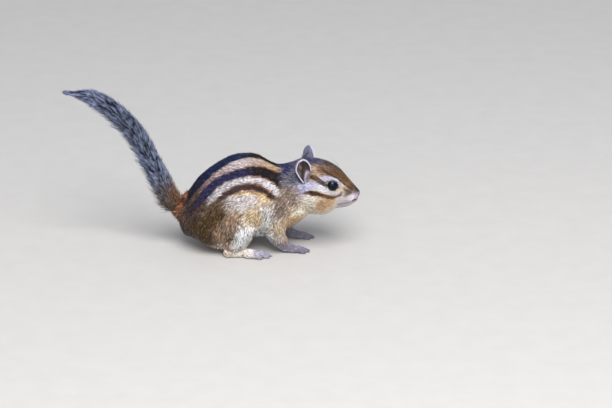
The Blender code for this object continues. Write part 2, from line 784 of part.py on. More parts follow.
def centred(nodes):
    """Moves all the nodes so that the middle of their box's bottom is the origin."""
    corners = [vert.co for obj in nodes for vert in obj.data.vertices]
    low = Vector([min(c[i] for c in corners) for i in range(3)])
    high = Vector([max(c[i] for c in corners) for i in range(3)])
    move = Matrix.Translation((-(low.x + high.x) / 2, -(low.y + high.y) / 2, -low.z))
    for obj in nodes:
        obj.data.transform(move)


def main():
    for old in list(bpy.data.objects):
        bpy.data.objects.remove(old)
    line = TailLine()
    nodes = [*body_nodes(line), *tail_nodes(line), *eyes()]
    centred(nodes)
    animal = bpy.data.collections.new("chipmunk")
    bpy.context.scene.collection.children.link(animal)
    for obj in nodes:
        coated(obj)
        bpy.context.scene.collection.objects.unlink(obj)
        animal.objects.link(obj)


main()
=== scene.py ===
"""Looks of a life-size museum model of a chipmunk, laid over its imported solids.

One skin stands for the flesh solids, and closed tufts of hair lie over it along the coat's lie.
Skin and hair take their colours from one formula of named tones, stripes and face lines.
Places are in millimetres in the frame in which the animal was drawn, and `placed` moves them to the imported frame.
The tables describe the animal's right side with its head unturned, and serve for both sides.
"""

import itertools
import math

import bmesh
import bpy
import numpy as np
from mathutils import Matrix, Vector


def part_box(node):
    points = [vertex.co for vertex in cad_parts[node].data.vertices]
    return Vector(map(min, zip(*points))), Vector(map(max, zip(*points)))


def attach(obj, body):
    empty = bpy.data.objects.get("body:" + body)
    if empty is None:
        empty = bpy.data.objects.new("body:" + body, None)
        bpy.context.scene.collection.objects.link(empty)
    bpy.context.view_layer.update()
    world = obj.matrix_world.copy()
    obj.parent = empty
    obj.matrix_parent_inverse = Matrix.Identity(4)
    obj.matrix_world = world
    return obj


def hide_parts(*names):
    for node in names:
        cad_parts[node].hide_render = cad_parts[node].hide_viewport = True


bl_info = {
    "name": "Chipmunk model",
    "version": (1, 0, 0),
    "blender": (4, 5, 0),
    "location": "3D View > Sidebar > Chipmunk",
    "description": "Skin, coat, eyes, claws and stage of a life-size chipmunk model",
    "category": "Object",
}

MM = 0.001
UV_MAP = "OFBake"
CHUNK = 20000  # points handled at once
SEEDS = dict(coat=7, tail=11, ears=19, whiskers=23)

# Head
HEAD_PIVOT = (60.0, 0.0, 46.0)
HEAD_TURN = -8.0
EYE = dict(centre=(84.2, -9.7, 51.5), radius=4.3, lean=-9, yaw=22)
LID_REACH = 5.8  # from the eye's middle
LID_PROFILE = (  # degrees outside the lids' edge, distance from the eye's middle
    (0.0, 4.2), (0.2, 4.35), (0.8, 4.46), (2.0, 4.55), (3.5, 4.6), (5.5, 4.52), (8.0, 4.58), (12.0, 4.7),
    (18.0, 4.74), (24.0, 4.6), (24.0, 4.3), (2.5, 4.1),
)
LID_STEPS = 72
MOUTH_LINE = (
    (101.0, 0.0, 39.0), (101.0, -1.2, 38.9), (100.5, -2.6, 38.5), (99.0, -4.1, 37.9), (97.4, -4.6, 37.3),
    (95.0, -4.9, 36.7), (93.0, -5.1, 36.2), (91.0, -6.0, 35.9), (89.0, -7.6, 36.3), (87.5, -9.2, 36.9),
)
# painted shadow in the split of the upper lip, in the mouth tone's dark red
GAPE_SHADOW_LINE = ((100.3, -3.3, 38.8), (99.3, -4.6, 39.3), (98.4, -4.8, 38.9))
CLEFT_LINE = ((103.5, 0, 41.4), (103.5, 0, 39.2))
WING_LINE = ((101.2, -2.7, 42.4), (99.6, -3.3, 43.0))
NOSTRIL = (102.4, -1.5, 42.3)
NOSE = (100.3, 0.0, 42.6)

# Ears: the cup, each ear's side, lean, yaw and millimetres ahead, and marks in shares of the cup's radii
EAR = dict(centre=(64.2, -12.4, 61.4), radii=(5.5, 4.2, 9.4), tip=4, mouth=-0.14, wall=0.75)
EARS = (("ear_right", 1, -4, 30, 0.0), ("ear_left", -1, -7, 50, 1.3))
EAR_FOLDS = (  # line, width, height
    (((-0.3, 0, 0.85), (-0.35, 0, 0.45), (-0.1, 0, 0.1)), 0.15, 1.0),
    (((-0.5, 0, -0.1), (-0.25, 0, -0.3)), 0.14, 0.6),
)
# lines in the hollow that are only darkened, as painted shade of pits; they are not carved
EAR_PIT_SHADES = (((0.15, 0, 0.0), (0.1, 0, -0.4), (0.0, 0, -0.9)), ((0.3, 0, 0.5), (0.3, 0, 0.15)))

# Tail: centre line from rump to tip, and the half width of its coat there
TAIL_LINE = (
    (-17.0, 0.0, 21.0, 8.0), (-21.0, 0.0, 24.0, 8.0), (-28.0, 0.4, 30.0, 7.8), (-35.0, 1.0, 41.0, 7.4),
    (-41.0, 1.8, 55.0, 7.2), (-48.0, 2.4, 69.0, 6.8), (-55.5, 2.6, 84.0, 6.8), (-65.5, 2.4, 96.0, 6.8),
    (-76.5, 1.8, 106.4, 6.2), (-89.0, 0.8, 113.4, 5.0), (-101.5, 0.0, 115.6, 1.2),
)
TAIL_ROOT = 15.2
TAIL_CORE = 0.44  # share of the half width

# Toes and claws, as in the solids: across, start and length of each toe
HIND_FOOT = dict(
    root=(27.5, -22.6, 2.3),
    radius=1.3,
    shift=0.0,
    toes=((3.9, -4.0, 6.3), (2.2, 0.2, 8.8), (0.0, 0.8, 9.8), (-2.2, 0.2, 8.8), (-3.9, -2.8, 7.0)),
)
FORE_FOOT = dict(
    root=(56.8, -13.0, 2.0),
    radius=1.1,
    shift=3.0,
    toes=((3.0, -1.0, 6.2), (1.1, 0.4, 7.8), (-1.0, 0.4, 7.8), (-3.0, -1.0, 6.4)),
)

# Solids that the skin stands for, and how far it swells them before the coat's depth comes off
FLESH = (
    "head", "neck", "torso", "foreleg_left", "foreleg_right", "forefoot_left", "forefoot_right",
    "hindleg_left", "hindleg_right", "hindfoot_left", "hindfoot_right",
)
SWELL = 0.22

# Hair: rise over the skin as a share of its length; shares of length, height and width from root to before the tip
RISE = 0.27
HAIR = ((-0.06, -0.25, 0.75), (0.42, 0.62, 1.0))
TAIL_HAIR = ((0.0, 0.0, 0.7), (0.3, 0.42, 1.0), (0.66, 0.8, 0.8))
HAIR_PATCH = 0.003  # size of a hair in the UV map

# Pieces of the body's coat: where the face, the back and the front begin
FACE_X, BACK_Z, FRONT_X = 76, 40, 30

# Middle height of the trunk at places along it
TRUNK = (
    (-25.5, 20.5), (-22.5, 22.75), (-18.0, 25.25), (-11.0, 28.75), (-4.0, 31.65), (3.0, 34.2), (10.0, 36.25),
    (17.0, 37.85), (24.5, 38.55), (31.5, 38.0), (38.5, 36.3), (44.0, 35.85), (49.0, 37.2), (56.0, 40.3), (63.0, 43.7),
)

# Edges of the back's stripes, in degrees from the top round the trunk, at places along it
STRIPE_X = (-20, -14, -8, 0, 7, 14, 21, 28, 35, 41, 46)
STRIPE_EDGES = (
    (35, 32, 27, 18.5, 15.3, 12.2, 9.5, 7.5, 2.5, 2.5, 6),
    (54, 49, 37, 31, 29.4, 28, 26.2, 23.4, 18.5, 18, 19),
    (78, 72, 63.5, 48.5, 43.4, 41.7, 40.8, 39.5, 37.8, 41.3, 50.5),
    (84, 80, 76, 65.5, 56.2, 51.4, 49.9, 49.6, 52, 60, 70),
    (88, 86, 83, 76, 67.5, 62.7, 60.8, 61, 64.6, 73, 80),
    (96, 94, 91, 84, 75, 69, 67, 67.5, 72, 82, 90),
)
STRIPE_ROLL = ((-18, 6), (-7, 0), (7, -1.5), (21, -1.5), (35, -6), (41, -6))
STRIPE_ENDS = ((-21, 46), (-13, 47), (-19, 47), (-3.5, 45), (1, 44), (13, 40))

# Lie of the coat: place, direction, hair length
LIE_HEAD = (
    (101, -2, 45, -1, -0.2, 0.6, 0.7), (102, -1, 41, -0.6, -0.8, 0.1, 0.6), (96, -1, 51, -1, 0, 0.75, 1.1),
    (90, -1, 57, -1, 0, 0.6, 1.6), (82, -2, 63, -1, -0.05, 0.4, 2.4), (73, -3, 66, -1, -0.05, 0.05, 3.2),
    (64, 0, 67, -1, 0, -0.15, 3.8), (97, -6.5, 43, -1, -0.5, 0.1, 1.0), (96, -6, 40, -1, -0.5, -0.2, 1.2),
    (91, -9, 46, -1, -0.5, 0.25, 1.2), (89, -10, 52, -1, -0.3, 0.7, 1.2), (81, -12, 58, -1, -0.2, 0.05, 1.5),
    (85, -13, 45, -1, -0.4, -0.1, 1.5), (77, -15, 48, -1, -0.15, 0.0, 2.0), (76, -17, 41, -1, -0.1, -0.4, 3.0),
    (70, -15, 55, -1, -0.1, -0.1, 2.0), (90, -8, 38, -1, -0.3, -0.3, 1.8), (88, 0, 33, -1, 0, -0.3, 1.8),
    (97, -2, 36.5, -1, -0.2, -0.3, 1.0), (78, -5, 28, -1, 0, -0.5, 3.4), (68, -16, 40, -1, -0.1, -0.6, 3.8),
    (60, -14, 53, -1, -0.2, -0.3, 3.6),
)
LIE_BODY = (
    (54, 0, 62, -1, 0, -0.1, 4.2), (44, 0, 61, -1, 0, 0.1, 4.4), (30, 0, 68, -1, 0, 0.15, 4.8),
    (15, 0, 69, -1, 0, -0.1, 5.0), (0, 0, 61, -1, 0, -0.6, 5.0), (-13, 0, 50, -0.8, 0, -1, 5.0),
    (-22, -2, 34, -0.7, 0, -0.8, 5.0), (-19, -14, 28, -0.6, -0.3, -1, 5.0), (50, -17, 42, -0.75, -0.1, -0.9, 4.6),
    (44, -19, 48, -1, -0.1, -0.5, 4.6), (25, -20, 56, -1, -0.2, -0.15, 5.0), (5, -18, 52, -1, -0.3, -0.45, 5.0),
    (-8, -16, 42, -0.9, -0.3, -0.7, 5.0), (22, -24, 38, -0.9, 0, -0.6, 5.2), (35, -22, 28, -0.5, 0, -1, 5.2),
    (36, -19, 18, -0.8, 0, -0.8, 5.2), (30, -8, 9, -1, 0, -0.1, 4.6), (10, 0, 6, -1, 0, 0, 4.2),
    (62, -6, 24, -0.6, 0, -1, 4.6), (62, -15, 34, -0.9, 0, -0.8, 4.4), (0, -24, 38, -0.7, -0.2, -0.9, 5.0),
    (-4, -26, 26, -0.45, 0, -1, 5.0), (8, -28, 24, -0.2, 0, -1, 5.0), (18, -27, 24, 0.0, 0, -1, 5.0),
    (20, -27, 15, 0.1, 0, -1, 3.6), (5, -27, 12, -0.4, 0, -1, 4.0), (-10, -20, 10, -0.7, 0, -0.8, 4.0),
    (48, -18, 24, -0.4, 0, -1, 4.0), (42, -18, 18, -0.5, 0, -1, 3.4), (52, -15, 16, 0.0, 0, -1, 2.6),
    (50, -13, 9, 0.3, 0, -1, 1.6), (50, -13, 3, 1, 0, -0.2, 1.0), (60, -13, 3, 1, 0, -0.1, 0.75),
    (26, -20, 8, 0.8, 0, -0.5, 2.0), (12, -18, 3, 1, 0, 0, 0.9), (28, -21, 4, 1, 0, -0.1, 0.85),
    (36, -21, 2, 1, 0, -0.1, 0.75),
)

# Ground tones: name, then its places with their pulls
TONES_HEAD = (
    ("nose_dark", (101.5, -1, 46, 1.0)),
    ("nose", (101, -2, 41, 0.8)),
    ("forehead", (98, -2.6, 49, 1.2), (93, -3, 53, 1.2), (88, -5, 58.5, 1.2)),
    ("crown", (82, -8, 61, 1.2), (75, -9, 62, 1.2)),
    ("crown_dark", (88, -0.5, 60.5, 1.0), (80, -1, 64.5, 1.2)),
    ("temple", (74, -12.5, 59, 1.2), (72, -10, 62.5, 1.0)),
    ("crown_back", (72, -2, 66, 1.2)),
    ("nape", (65, -2, 67, 1.0)),
    ("behind_ear", (60, -12, 55, 1.0)),
    ("muzzle", (95, -6.5, 45, 1.0)),
    ("lip", (96.5, -6.5, 40.5, 1.0), (91, -8.5, 40, 1.0)),
    ("chin", (96, -4, 36, 1.0), (88, -5, 33.5, 1.0)),
    ("cheek_ochre", (84, -14, 41, 1.2), (77, -16, 39, 1.2)),
    ("cheek_pale", (70, -17, 40, 1.0), (72, -16, 45, 1.0), (84, -9, 34, 1.0)),
    ("throat", (78, -6, 28, 1.0), (68, -10, 30, 1.0)),
    ("ear_foot", (66, -17, 50, 0.8), (62, -14.8, 53, 0.8)),
    ("eye_front", (92, -8, 48, 1.0)),
)
TONES_BODY = (
    ("nape", (50, 0, 62, 1.2), (50, -8, 61, 1.2)),
    ("shoulder_grey", (53, -12, 57, 1.0)),
    ("shoulder", (47, -19.5, 42, 1.2), (46, -19.5, 35, 1.2), (56, -17, 40, 1.0), (43, -19, 30, 1.0)),
    ("throat", (60, -15, 32, 1.0)),
    ("chest", (62, -6, 24, 1.0), (55, -15, 25, 1.0)),
    ("flank_grey", (26, -24, 46, 1.2), (14.6, -24, 44, 1.2), (20, -24, 39, 1.0)),
    ("flank_ochre", (34, -22, 47, 1.0), (28, -22.5, 31, 1.2), (24, -22.5, 34, 1.0), (32, -21, 26, 1.0)),
    ("white_side", (37, -21.5, 32, 1.2)),
    ("belly", (36, -21, 25, 1.0), (35, -13, 13, 1.0), (35.5, -21, 20, 1.0), (10, -5, 5, 1.0), (44, -6, 12, 1.0)),
    ("foreleg", (42.5, -19.5, 22, 1.1), (48, -17, 22, 1.0), (52, -14, 14, 1.0)),
    ("thigh_fringe", (20, -27.5, 17.5, 1.4), (20.5, -27, 13, 1.2), (15, -27, 10, 0.5)),
    (
        "thigh_dark", (11, -27.5, 16, 1.0), (3, -25, 33, 1.2), (-4, -26, 27, 1.4), (-11, -24, 21, 1.2),
        (-6, -24, 14, 1.0), (0, -22, 44, 1.0),
    ),
    ("thigh_light", (9, -26, 9, 0.8), (4, -27, 18, 1.0), (12, -26, 31, 1.2), (12, -26, 25, 1.0)),
    ("rump_rust", (-24, -3, 33, 1.4)),
    ("rump_purple", (-21, -9.6, 33.3, 1.0), (-17.4, -16.9, 30, 1.2), (-12, -18, 40, 1.0), (-20, -8, 18, 1.0)),
    ("forefoot", (50, -13, 6, 1.0), (60, -13, 3, 1.2), (66, -13, 2, 1.2)),
    ("heel", (8, -20, 4, 1.2), (18, -21, 5, 1.2), (24, -21, 5, 0.6)),
    ("hind_foot", (30, -21, 4, 1.2), (38, -21, 2, 1.2)),
)

# Face lines: points with half widths, softness, tone at the start, tone at the end
FACE_LINES = (
    (((78.4, -9.3, 61.7, 1.0), (81.3, -9.2, 60.1, 1.2), (84.1, -9.1, 58.5, 1.1), (86.9, -8.9, 56.7, 0.9),
      (89.6, -7.4, 54.1, 0.9), (92.3, -6.3, 51.3, 0.8), (95.0, -5.1, 49.0, 0.8), (97.7, -3.9, 47.1, 0.7)),
     1.2, "dark_line", "dark_line"),
    (((90.3, -8.1, 52.2, 0.9), (91.5, -7.7, 49.5, 1.3), (93.1, -7.1, 47.1, 1.2), (95.2, -6.2, 45.3, 1.0),
      (97.2, -5.3, 44.1, 0.7)), 0.9, "eye_front", "muzzle"),
    (((63.7, -16.0, 46.8, 0.6), (65.1, -16.0, 46.5, 1.0), (68.0, -16.1, 47.0, 1.6), (70.8, -16.0, 47.0, 2.1),
      (73.6, -15.7, 46.5, 2.0), (76.4, -15.1, 45.7, 1.7), (79.2, -14.5, 44.6, 1.4), (81.9, -13.6, 43.5, 1.3),
      (84.6, -12.2, 42.8, 1.1), (87.2, -10.6, 42.9, 0.9), (89.9, -9.2, 43.9, 0.9), (90.8, -8.6, 45.6, 0.7)),
     1.4, "rust_stripe", "rust_front"),
    (((69.5, -13.2, 58.3, 1.2), (70.5, -13.5, 58.3, 1.5), (73.3, -13.7, 57.3, 1.8), (76.2, -13.8, 55.5, 1.9),
      (79.0, -13.7, 53.3, 1.6), (80.8, -13.8, 52.4, 1.2)), 0.9, "forehead", "eye_stripe"),
    (((63.6, -15.6, 51.0, 2.0), (67.9, -15.5, 52.6, 2.5), (70.7, -15.4, 53.0, 2.4), (73.6, -15.2, 52.3, 2.0),
      (76.4, -14.9, 50.9, 1.9), (79.1, -14.2, 49.1, 2.0), (81.9, -13.6, 47.6, 1.9), (84.6, -12.5, 46.4, 1.6),
      (87.2, -10.8, 46.0, 1.3), (88.7, -9.9, 46.9, 0.8), (89.4, -9.8, 48.0, 0.3)), 0.9, "ear_foot", "under_eye"),
    (((76.4, -13.0, 57.4, 0.9), (77.8, -12.8, 57.2, 1.7), (79.9, -12.1, 57.2, 1.9), (82.6, -11.8, 57.1, 1.8),
      (85.1, -11.4, 56.4, 1.7), (87.2, -10.7, 55.0, 1.6), (88.8, -10.4, 53.1, 1.3), (89.3, -10.6, 51.1, 1.1),
      (89.3, -10.9, 49.6, 0.7)), 0.6, "brow", "brow"),
)

# Stage, in metres but for the target: lights with place, size, power and colour
CAMERA = dict(target=(64.26, -5.0, 33.7), rise=22, distance=2.5, width=0.4345, sensor=36, end=20)
LIGHTS = (
    ("key", (0.25, -0.95, 1.42), 1.3, 48, (0.93, 0.96, 1.0)),
    ("fill", (0.1, -1.7, 0.6), 2.4, 22, (1.0, 0.94, 0.87)),
)
LIT_PLACE = (0.02, 0, 0.04)
SKY = dict(Color=(0.7, 0.77, 0.9, 1), Strength=0.75)
GROUND_SIZE = 6


# Numbers and places


def numbers(*rows):
    return np.array(rows if len(rows) > 1 else rows[0], float)


def smooth(low, high, values):
    """0 at low, 1 at high, an even slope between."""
    share = np.clip((np.asarray(values, float) - low) / (high - low), 0, 1)
    return share * share * (3 - 2 * share)


def bell(distance, width):
    return np.exp(-((distance / width) ** 2))


def unit(vectors):
    return vectors / np.maximum(np.linalg.norm(vectors, axis=-1, keepdims=True), 1e-12)


def laid(ways, normals):
    """Directions pressed onto the surface."""
    return unit(ways - normals * np.sum(ways * normals, axis=1, keepdims=True))


def turned(points, degrees, pivot=HEAD_PIVOT):
    """Points turned about the upright line through the pivot."""
    a = math.radians(degrees)
    spin = numbers((math.cos(a), -math.sin(a), 0), (math.sin(a), math.cos(a), 0), (0, 0, 1))
    return (np.asarray(points, float) - pivot) @ spin.T + pivot


def turned_way(ways, degrees):
    return turned(ways, degrees, (0.0, 0.0, 0.0))


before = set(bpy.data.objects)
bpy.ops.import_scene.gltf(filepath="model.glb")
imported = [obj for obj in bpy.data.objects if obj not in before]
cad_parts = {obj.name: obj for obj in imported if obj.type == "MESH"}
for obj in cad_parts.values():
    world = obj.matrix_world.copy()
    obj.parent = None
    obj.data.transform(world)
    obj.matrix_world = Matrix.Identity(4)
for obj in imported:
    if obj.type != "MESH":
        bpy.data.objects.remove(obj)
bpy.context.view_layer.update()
_low, _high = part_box("eye_right")
SHIFT = (np.array(_low) + np.array(_high)) / 2 / MM - turned(EYE["centre"], HEAD_TURN)


def placed(points):
    """Drawn millimetres to packed metres."""
    return (np.asarray(points, float) + SHIFT) * MM


def drawn(points):
    """Packed metres to drawn millimetres."""
    return np.asarray(points, float) / MM - SHIFT


def one_side(points):
    """The same places on the animal's right side."""
    points = np.array(points, float)
    points[:, 1] = -np.abs(points[:, 1])
    return points


def face_side(points):
    """The same places on the right side of the unturned head."""
    return one_side(turned(points, -HEAD_TURN))


def side_signs(points):
    return np.where(points[:, 1] > 0, -1.0, 1.0)


def mottle(points, size, seed=0):
    """Smooth noise from -1 to 1 at each point, with spots of that size."""
    q = np.asarray(points, float) / size
    cell = np.floor(q).astype(np.int64)
    f = q - cell
    f = f * f * (3 - 2 * f)
    total = np.zeros(len(q))
    for corner in itertools.product((0, 1), repeat=3):
        # h is a number by chance for each corner of a point's cell
        c = cell + np.array(corner)
        h = (c[:, 0] * 73856093) ^ (c[:, 1] * 19349663) ^ (c[:, 2] * 83492791) ^ (seed * 2654435761 + 97)
        h = ((h & 0xFFFFFFFF) ^ ((h & 0xFFFFFFFF) >> 13)) * 1274126177 & 0xFFFFFFFF
        h ^= h >> 16
        total += np.prod(np.where(corner, f, 1 - f), axis=1) * (h / 0xFFFFFFFF)
    return total * 2 - 1


def steps_of(line):
    """Way along a line to each of its points."""
    return np.concatenate(([0], np.cumsum(np.linalg.norm(np.diff(line, axis=0), axis=1))))


TAIL = np.array(TAIL_LINE)
TAIL_STEPS = steps_of(TAIL[:, :3])
TAIL_SHARES = TAIL_STEPS / TAIL_STEPS[-1]


def from_line(points, line):
    """Distance of each point from a line of points, and its share along the line."""
    line = np.array(line, float)
    spans = np.linalg.norm(np.diff(line, axis=0), axis=1)
    starts = steps_of(line)
    best = np.full(len(points), np.inf)
    along = np.zeros(len(points))
    for i, (a, b) in enumerate(zip(line[:-1], line[1:])):
        t = np.clip((points - a) @ (b - a) / spans[i] ** 2, 0, 1)
        d = np.linalg.norm(points - a - t[:, None] * (b - a), axis=1)
        nearer = d < best
        best[nearer] = d[nearer]
        along[nearer] = ((starts[i] + t * spans[i]) / starts[-1])[nearer]
    return best, along


def off_line(points, line):
    return from_line(points, line)[0]


def off_place(points, place):
    return np.linalg.norm(points - numbers(place), axis=1)


def off_nostril(local):
    return np.linalg.norm((local - numbers(NOSTRIL)) * (0.6, 1, 1.2), axis=1)


def spread(points, places, values, pulls=1.0):
    """Values of the places, blended by how near each is to a point."""
    values = np.array(values, float)
    result = np.zeros((len(points), values.shape[1]))
    for i in range(0, len(points), CHUNK):
        part = slice(i, i + CHUNK)
        weights = (np.linalg.norm(points[part, None] - places, axis=2) + 0.5) ** -4.0 * pulls
        result[part] = weights @ values / weights.sum(axis=1, keepdims=True)
    return result


def headness(points):
    """1 on the head, 0 on the trunk and legs."""
    x = points[:, 0] + 0.25 * (points[:, 2] - 46)
    return smooth(54, 64, x) * smooth(16, 26, points[:, 2])


def tail_place(points):
    """Distance from the tail's line in shares of its half width, share along it, and millimetres past its root."""
    distance, along = from_line(points, TAIL[:, :3])
    width = np.interp(along, TAIL_SHARES, TAIL[:, 3])
    return distance / width, along, along * TAIL_STEPS[-1] - TAIL_ROOT


def flow(points, table):
    """Direction and length of the hair from a table, on both sides."""
    rows = numbers(*table)
    result = spread(one_side(points), rows[:, :3], rows[:, 3:])
    result[:, 1] *= side_signs(points)
    return result


def lie(points, normals):
    """Direction of the hair at each point, along the surface, and its length."""
    head = headness(points)[:, None]
    on_head = flow(turned(points, -HEAD_TURN), LIE_HEAD)
    on_head[:, :3] = turned_way(on_head[:, :3], HEAD_TURN)
    both = on_head * head + flow(points, LIE_BODY) * (1 - head)
    near, along, past = tail_place(points)
    axis = unit(np.gradient(TAIL[:, :3], TAIL_STEPS, axis=0))
    axis = np.column_stack([np.interp(along, TAIL_SHARES, part) for part in axis.T])
    onto = (smooth(-7, 1, past) * (1 - smooth(1.3, 2.2, near)))[:, None]
    return laid(unit(both[:, :3]) * (1 - onto) + axis * onto, normals), both[:, 3]


# Settings and colours


def tone(label, meaning, red, green, blue):
    return bpy.props.FloatVectorProperty(
        name=label,
        description=meaning,
        default=(red / 255, green / 255, blue / 255),
        size=3,
        min=0,
        max=1,
        subtype="COLOR_GAMMA",
    )


class ChipmunkTones(bpy.types.PropertyGroup):
    # the blue of middle_stripe is painted sky reflection over the band's near-black own colour
    middle_stripe: tone("Middle stripe", "Dark band along the spine", 29, 39, 76)
    inner_rump: tone("Inner pale stripe, rump", "Pale band next to the middle one, at the rump", 112, 80, 72)
    inner_mid: tone("Inner pale stripe, middle", "The same band over the loins", 209, 191, 188)
    inner_front: tone("Inner pale stripe, front", "The same band at the shoulders", 171, 146, 118)
    # the blue of outer_dark is painted sky reflection over the band's near-black own colour
    outer_dark: tone("Outer dark stripe", "Dark band outside the inner pale one", 50, 48, 88)
    front_dark: tone("Dark stripes, front", "Blackish brown front part of the dark stripes", 34, 24, 24)
    outer_white: tone("White stripe", "Whitest band on the side of the back", 220, 213, 214)
    low_dark: tone("Lowest dark stripe", "Brown band over the flank", 84, 62, 60)
    flank_grey: tone("Grey flank", "Grizzled flank below the stripes", 224, 214, 212)
    flank_ochre: tone("Ochre flank", "Warm flank before the thigh", 228, 196, 154)
    belly: tone("Belly", "Underside", 239, 239, 239)
    white_side: tone("White side", "Pale patch behind the elbow", 220, 216, 216)
    thigh_fringe: tone("Thigh fringe", "White hair along the front of the thigh", 239, 239, 239)
    thigh_dark: tone("Dark thigh", "Olive brown of the thigh", 82, 58, 20)
    thigh_light: tone("Light thigh", "Ochre front of the thigh", 168, 138, 112)
    rump_rust: tone("Rusty rump", "Rust above the tail", 146, 94, 64)
    rump_purple: tone("Dark rump", "Brown of the rump's side", 84, 66, 58)
    shoulder: tone("Shoulder", "Grizzled shoulder", 148, 128, 114)
    shoulder_grey: tone("Upper shoulder", "Grey between shoulder and ear", 116, 112, 122)
    # the blue of nape is painted sky reflection over its own grey
    nape: tone("Nape", "Bluish grey nape", 46, 54, 94)
    # the blue of behind_ear is partly painted sky reflection over its own grey
    behind_ear: tone("Behind the ear", "Grey behind the ear", 63, 73, 102)
    chest: tone("Chest", "Front of the chest", 214, 180, 144)
    throat: tone("Throat", "Underside of the neck", 250, 234, 208)
    foreleg: tone("Foreleg", "Hair of the foreleg", 196, 172, 142)
    forefoot: tone("Forefoot", "Skin and hair of the forefoot", 122, 116, 134)
    heel: tone("Heel", "Hair of the heel", 240, 220, 204)
    hind_foot: tone("Hind foot", "Skin and hair of the hind foot", 152, 148, 168)
    crown: tone("Crown", "Top of the head", 119, 88, 65)
    crown_dark: tone("Middle of the crown", "Darker hair along the top of the head", 72, 60, 62)
    temple: tone("Temple", "Tan hair between ear and brow", 188, 162, 138)
    # the blue of crown_back is partly painted sky reflection over its own grey brown
    crown_back: tone("Back of the crown", "Grey brown between the ears", 84, 80, 102)
    forehead: tone("Forehead", "Rusty brown forehead", 95, 64, 30)
    muzzle: tone("Muzzle", "Side of the muzzle", 103, 84, 68)
    lip: tone("Lip", "Pale upper lip", 232, 222, 226)
    chin: tone("Chin", "Pale chin", 208, 198, 202)
    nose: tone("Nose", "Bare skin of the nose", 170, 150, 168)
    nose_dark: tone("Bridge of the nose", "Dark end of the nose's bridge", 42, 37, 32)
    cheek_ochre: tone("Ochre cheek", "Warm cheek under the face stripes", 184, 150, 110)
    cheek_pale: tone("Pale cheek", "Pale hind part of the cheek", 250, 236, 218)
    ear_foot: tone("Below the ear", "Pale patch at the ear's foot", 196, 191, 218)
    eye_front: tone("Before the eye", "Tan patch before the eye", 206, 186, 166)
    rust_stripe: tone("Rusty face stripe", "Lowest dark line of the face", 73, 41, 20)
    dark_line: tone("Line over the brow", "Dark brown line along the brow and down the muzzle", 74, 50, 38)
    rust_front: tone("Rusty face stripe, front", "The same line under the eye", 88, 53, 26)
    eye_stripe: tone("Eye stripe", "Dark line behind the eye", 76, 66, 66)
    under_eye: tone("White under the eye", "White line under the eye", 224, 220, 222)
    brow: tone("Brow", "White line over the eye", 186, 181, 194)
    # lid also darkens the mouth's crease and the nostrils as painted shade
    lid: tone("Lids and lips", "Bare dark skin round the eye and in the mouth", 30, 23, 25)
    # mouth is laid along the lip's split as painted shadow
    mouth: tone("Mouth", "Dark red between the lips", 66, 34, 34)
    ear_inside: tone("Inside of the ear", "Dark skin in the ear", 70, 57, 56)
    ear_outside: tone("Back of the ear", "Short hair on the back of the ear", 104, 104, 124)
    ear_rim: tone("Rim of the ear", "Pale hair along the ear's rim", 214, 210, 222)
    tail_rust: tone("Tail, rusty root", "Upper side of the tail at its root", 130, 90, 64)
    tail_dark: tone("Tail, dark band", "Dark band of the tail's hair", 22, 25, 38)
    tail_pale: tone("Tail, pale tips", "Pale ends of the tail's hair", 122, 130, 156)
    tail_core: tone("Tail, core", "Hair near the tail's core", 110, 100, 92)


class ChipmunkFur(bpy.types.PropertyGroup):
    voxel: bpy.props.FloatProperty(
        name="Skin detail", description="Size of the skin's faces", default=0.0008, min=0.0005, unit="LENGTH"
    )
    cover: bpy.props.FloatProperty(
        name="Cover", description="How many tufts lie over each place", default=3.4, min=0.5
    )
    tail_tufts: bpy.props.IntProperty(
        name="Tail tufts", description="Number of tufts on the tail", default=24000, min=100
    )
    tail_length: bpy.props.FloatProperty(
        name="Tail hair", description="Length of the tail's hair", default=0.0115, min=0.004, unit="LENGTH"
    )


def linear(colour):
    colour = np.array(colour, float)
    return np.where(colour <= 0.04045, colour / 12.92, ((colour + 0.055) / 1.055) ** 2.4)


def palette(group):
    """The settings' tones as linear colours."""
    return {name: linear(getattr(group, name)) for name in group.__annotations__}


def mixed(base, top, share):
    return base + (top - base) * share[:, None]


def ground_tone(points, table, tones):
    """Tone at each point from a table's places."""
    rows = [(place, tones[name]) for name, *places in table for place in places]
    places = numbers(*(place for place, _ in rows))
    return spread(points, places[:, :3], [colour for _, colour in rows], places[:, 3])


def stripe_angle(points):
    """Degrees round the trunk from the middle of the stripes, mirrored to the right side."""
    middle = np.interp(points[:, 0], *zip(*TRUNK))
    angle = np.degrees(np.arctan2(-points[:, 1], points[:, 2] - middle))
    roll = np.interp(points[:, 0], *zip(*STRIPE_ROLL))
    return np.where(angle >= roll, angle, 2 * roll - angle)


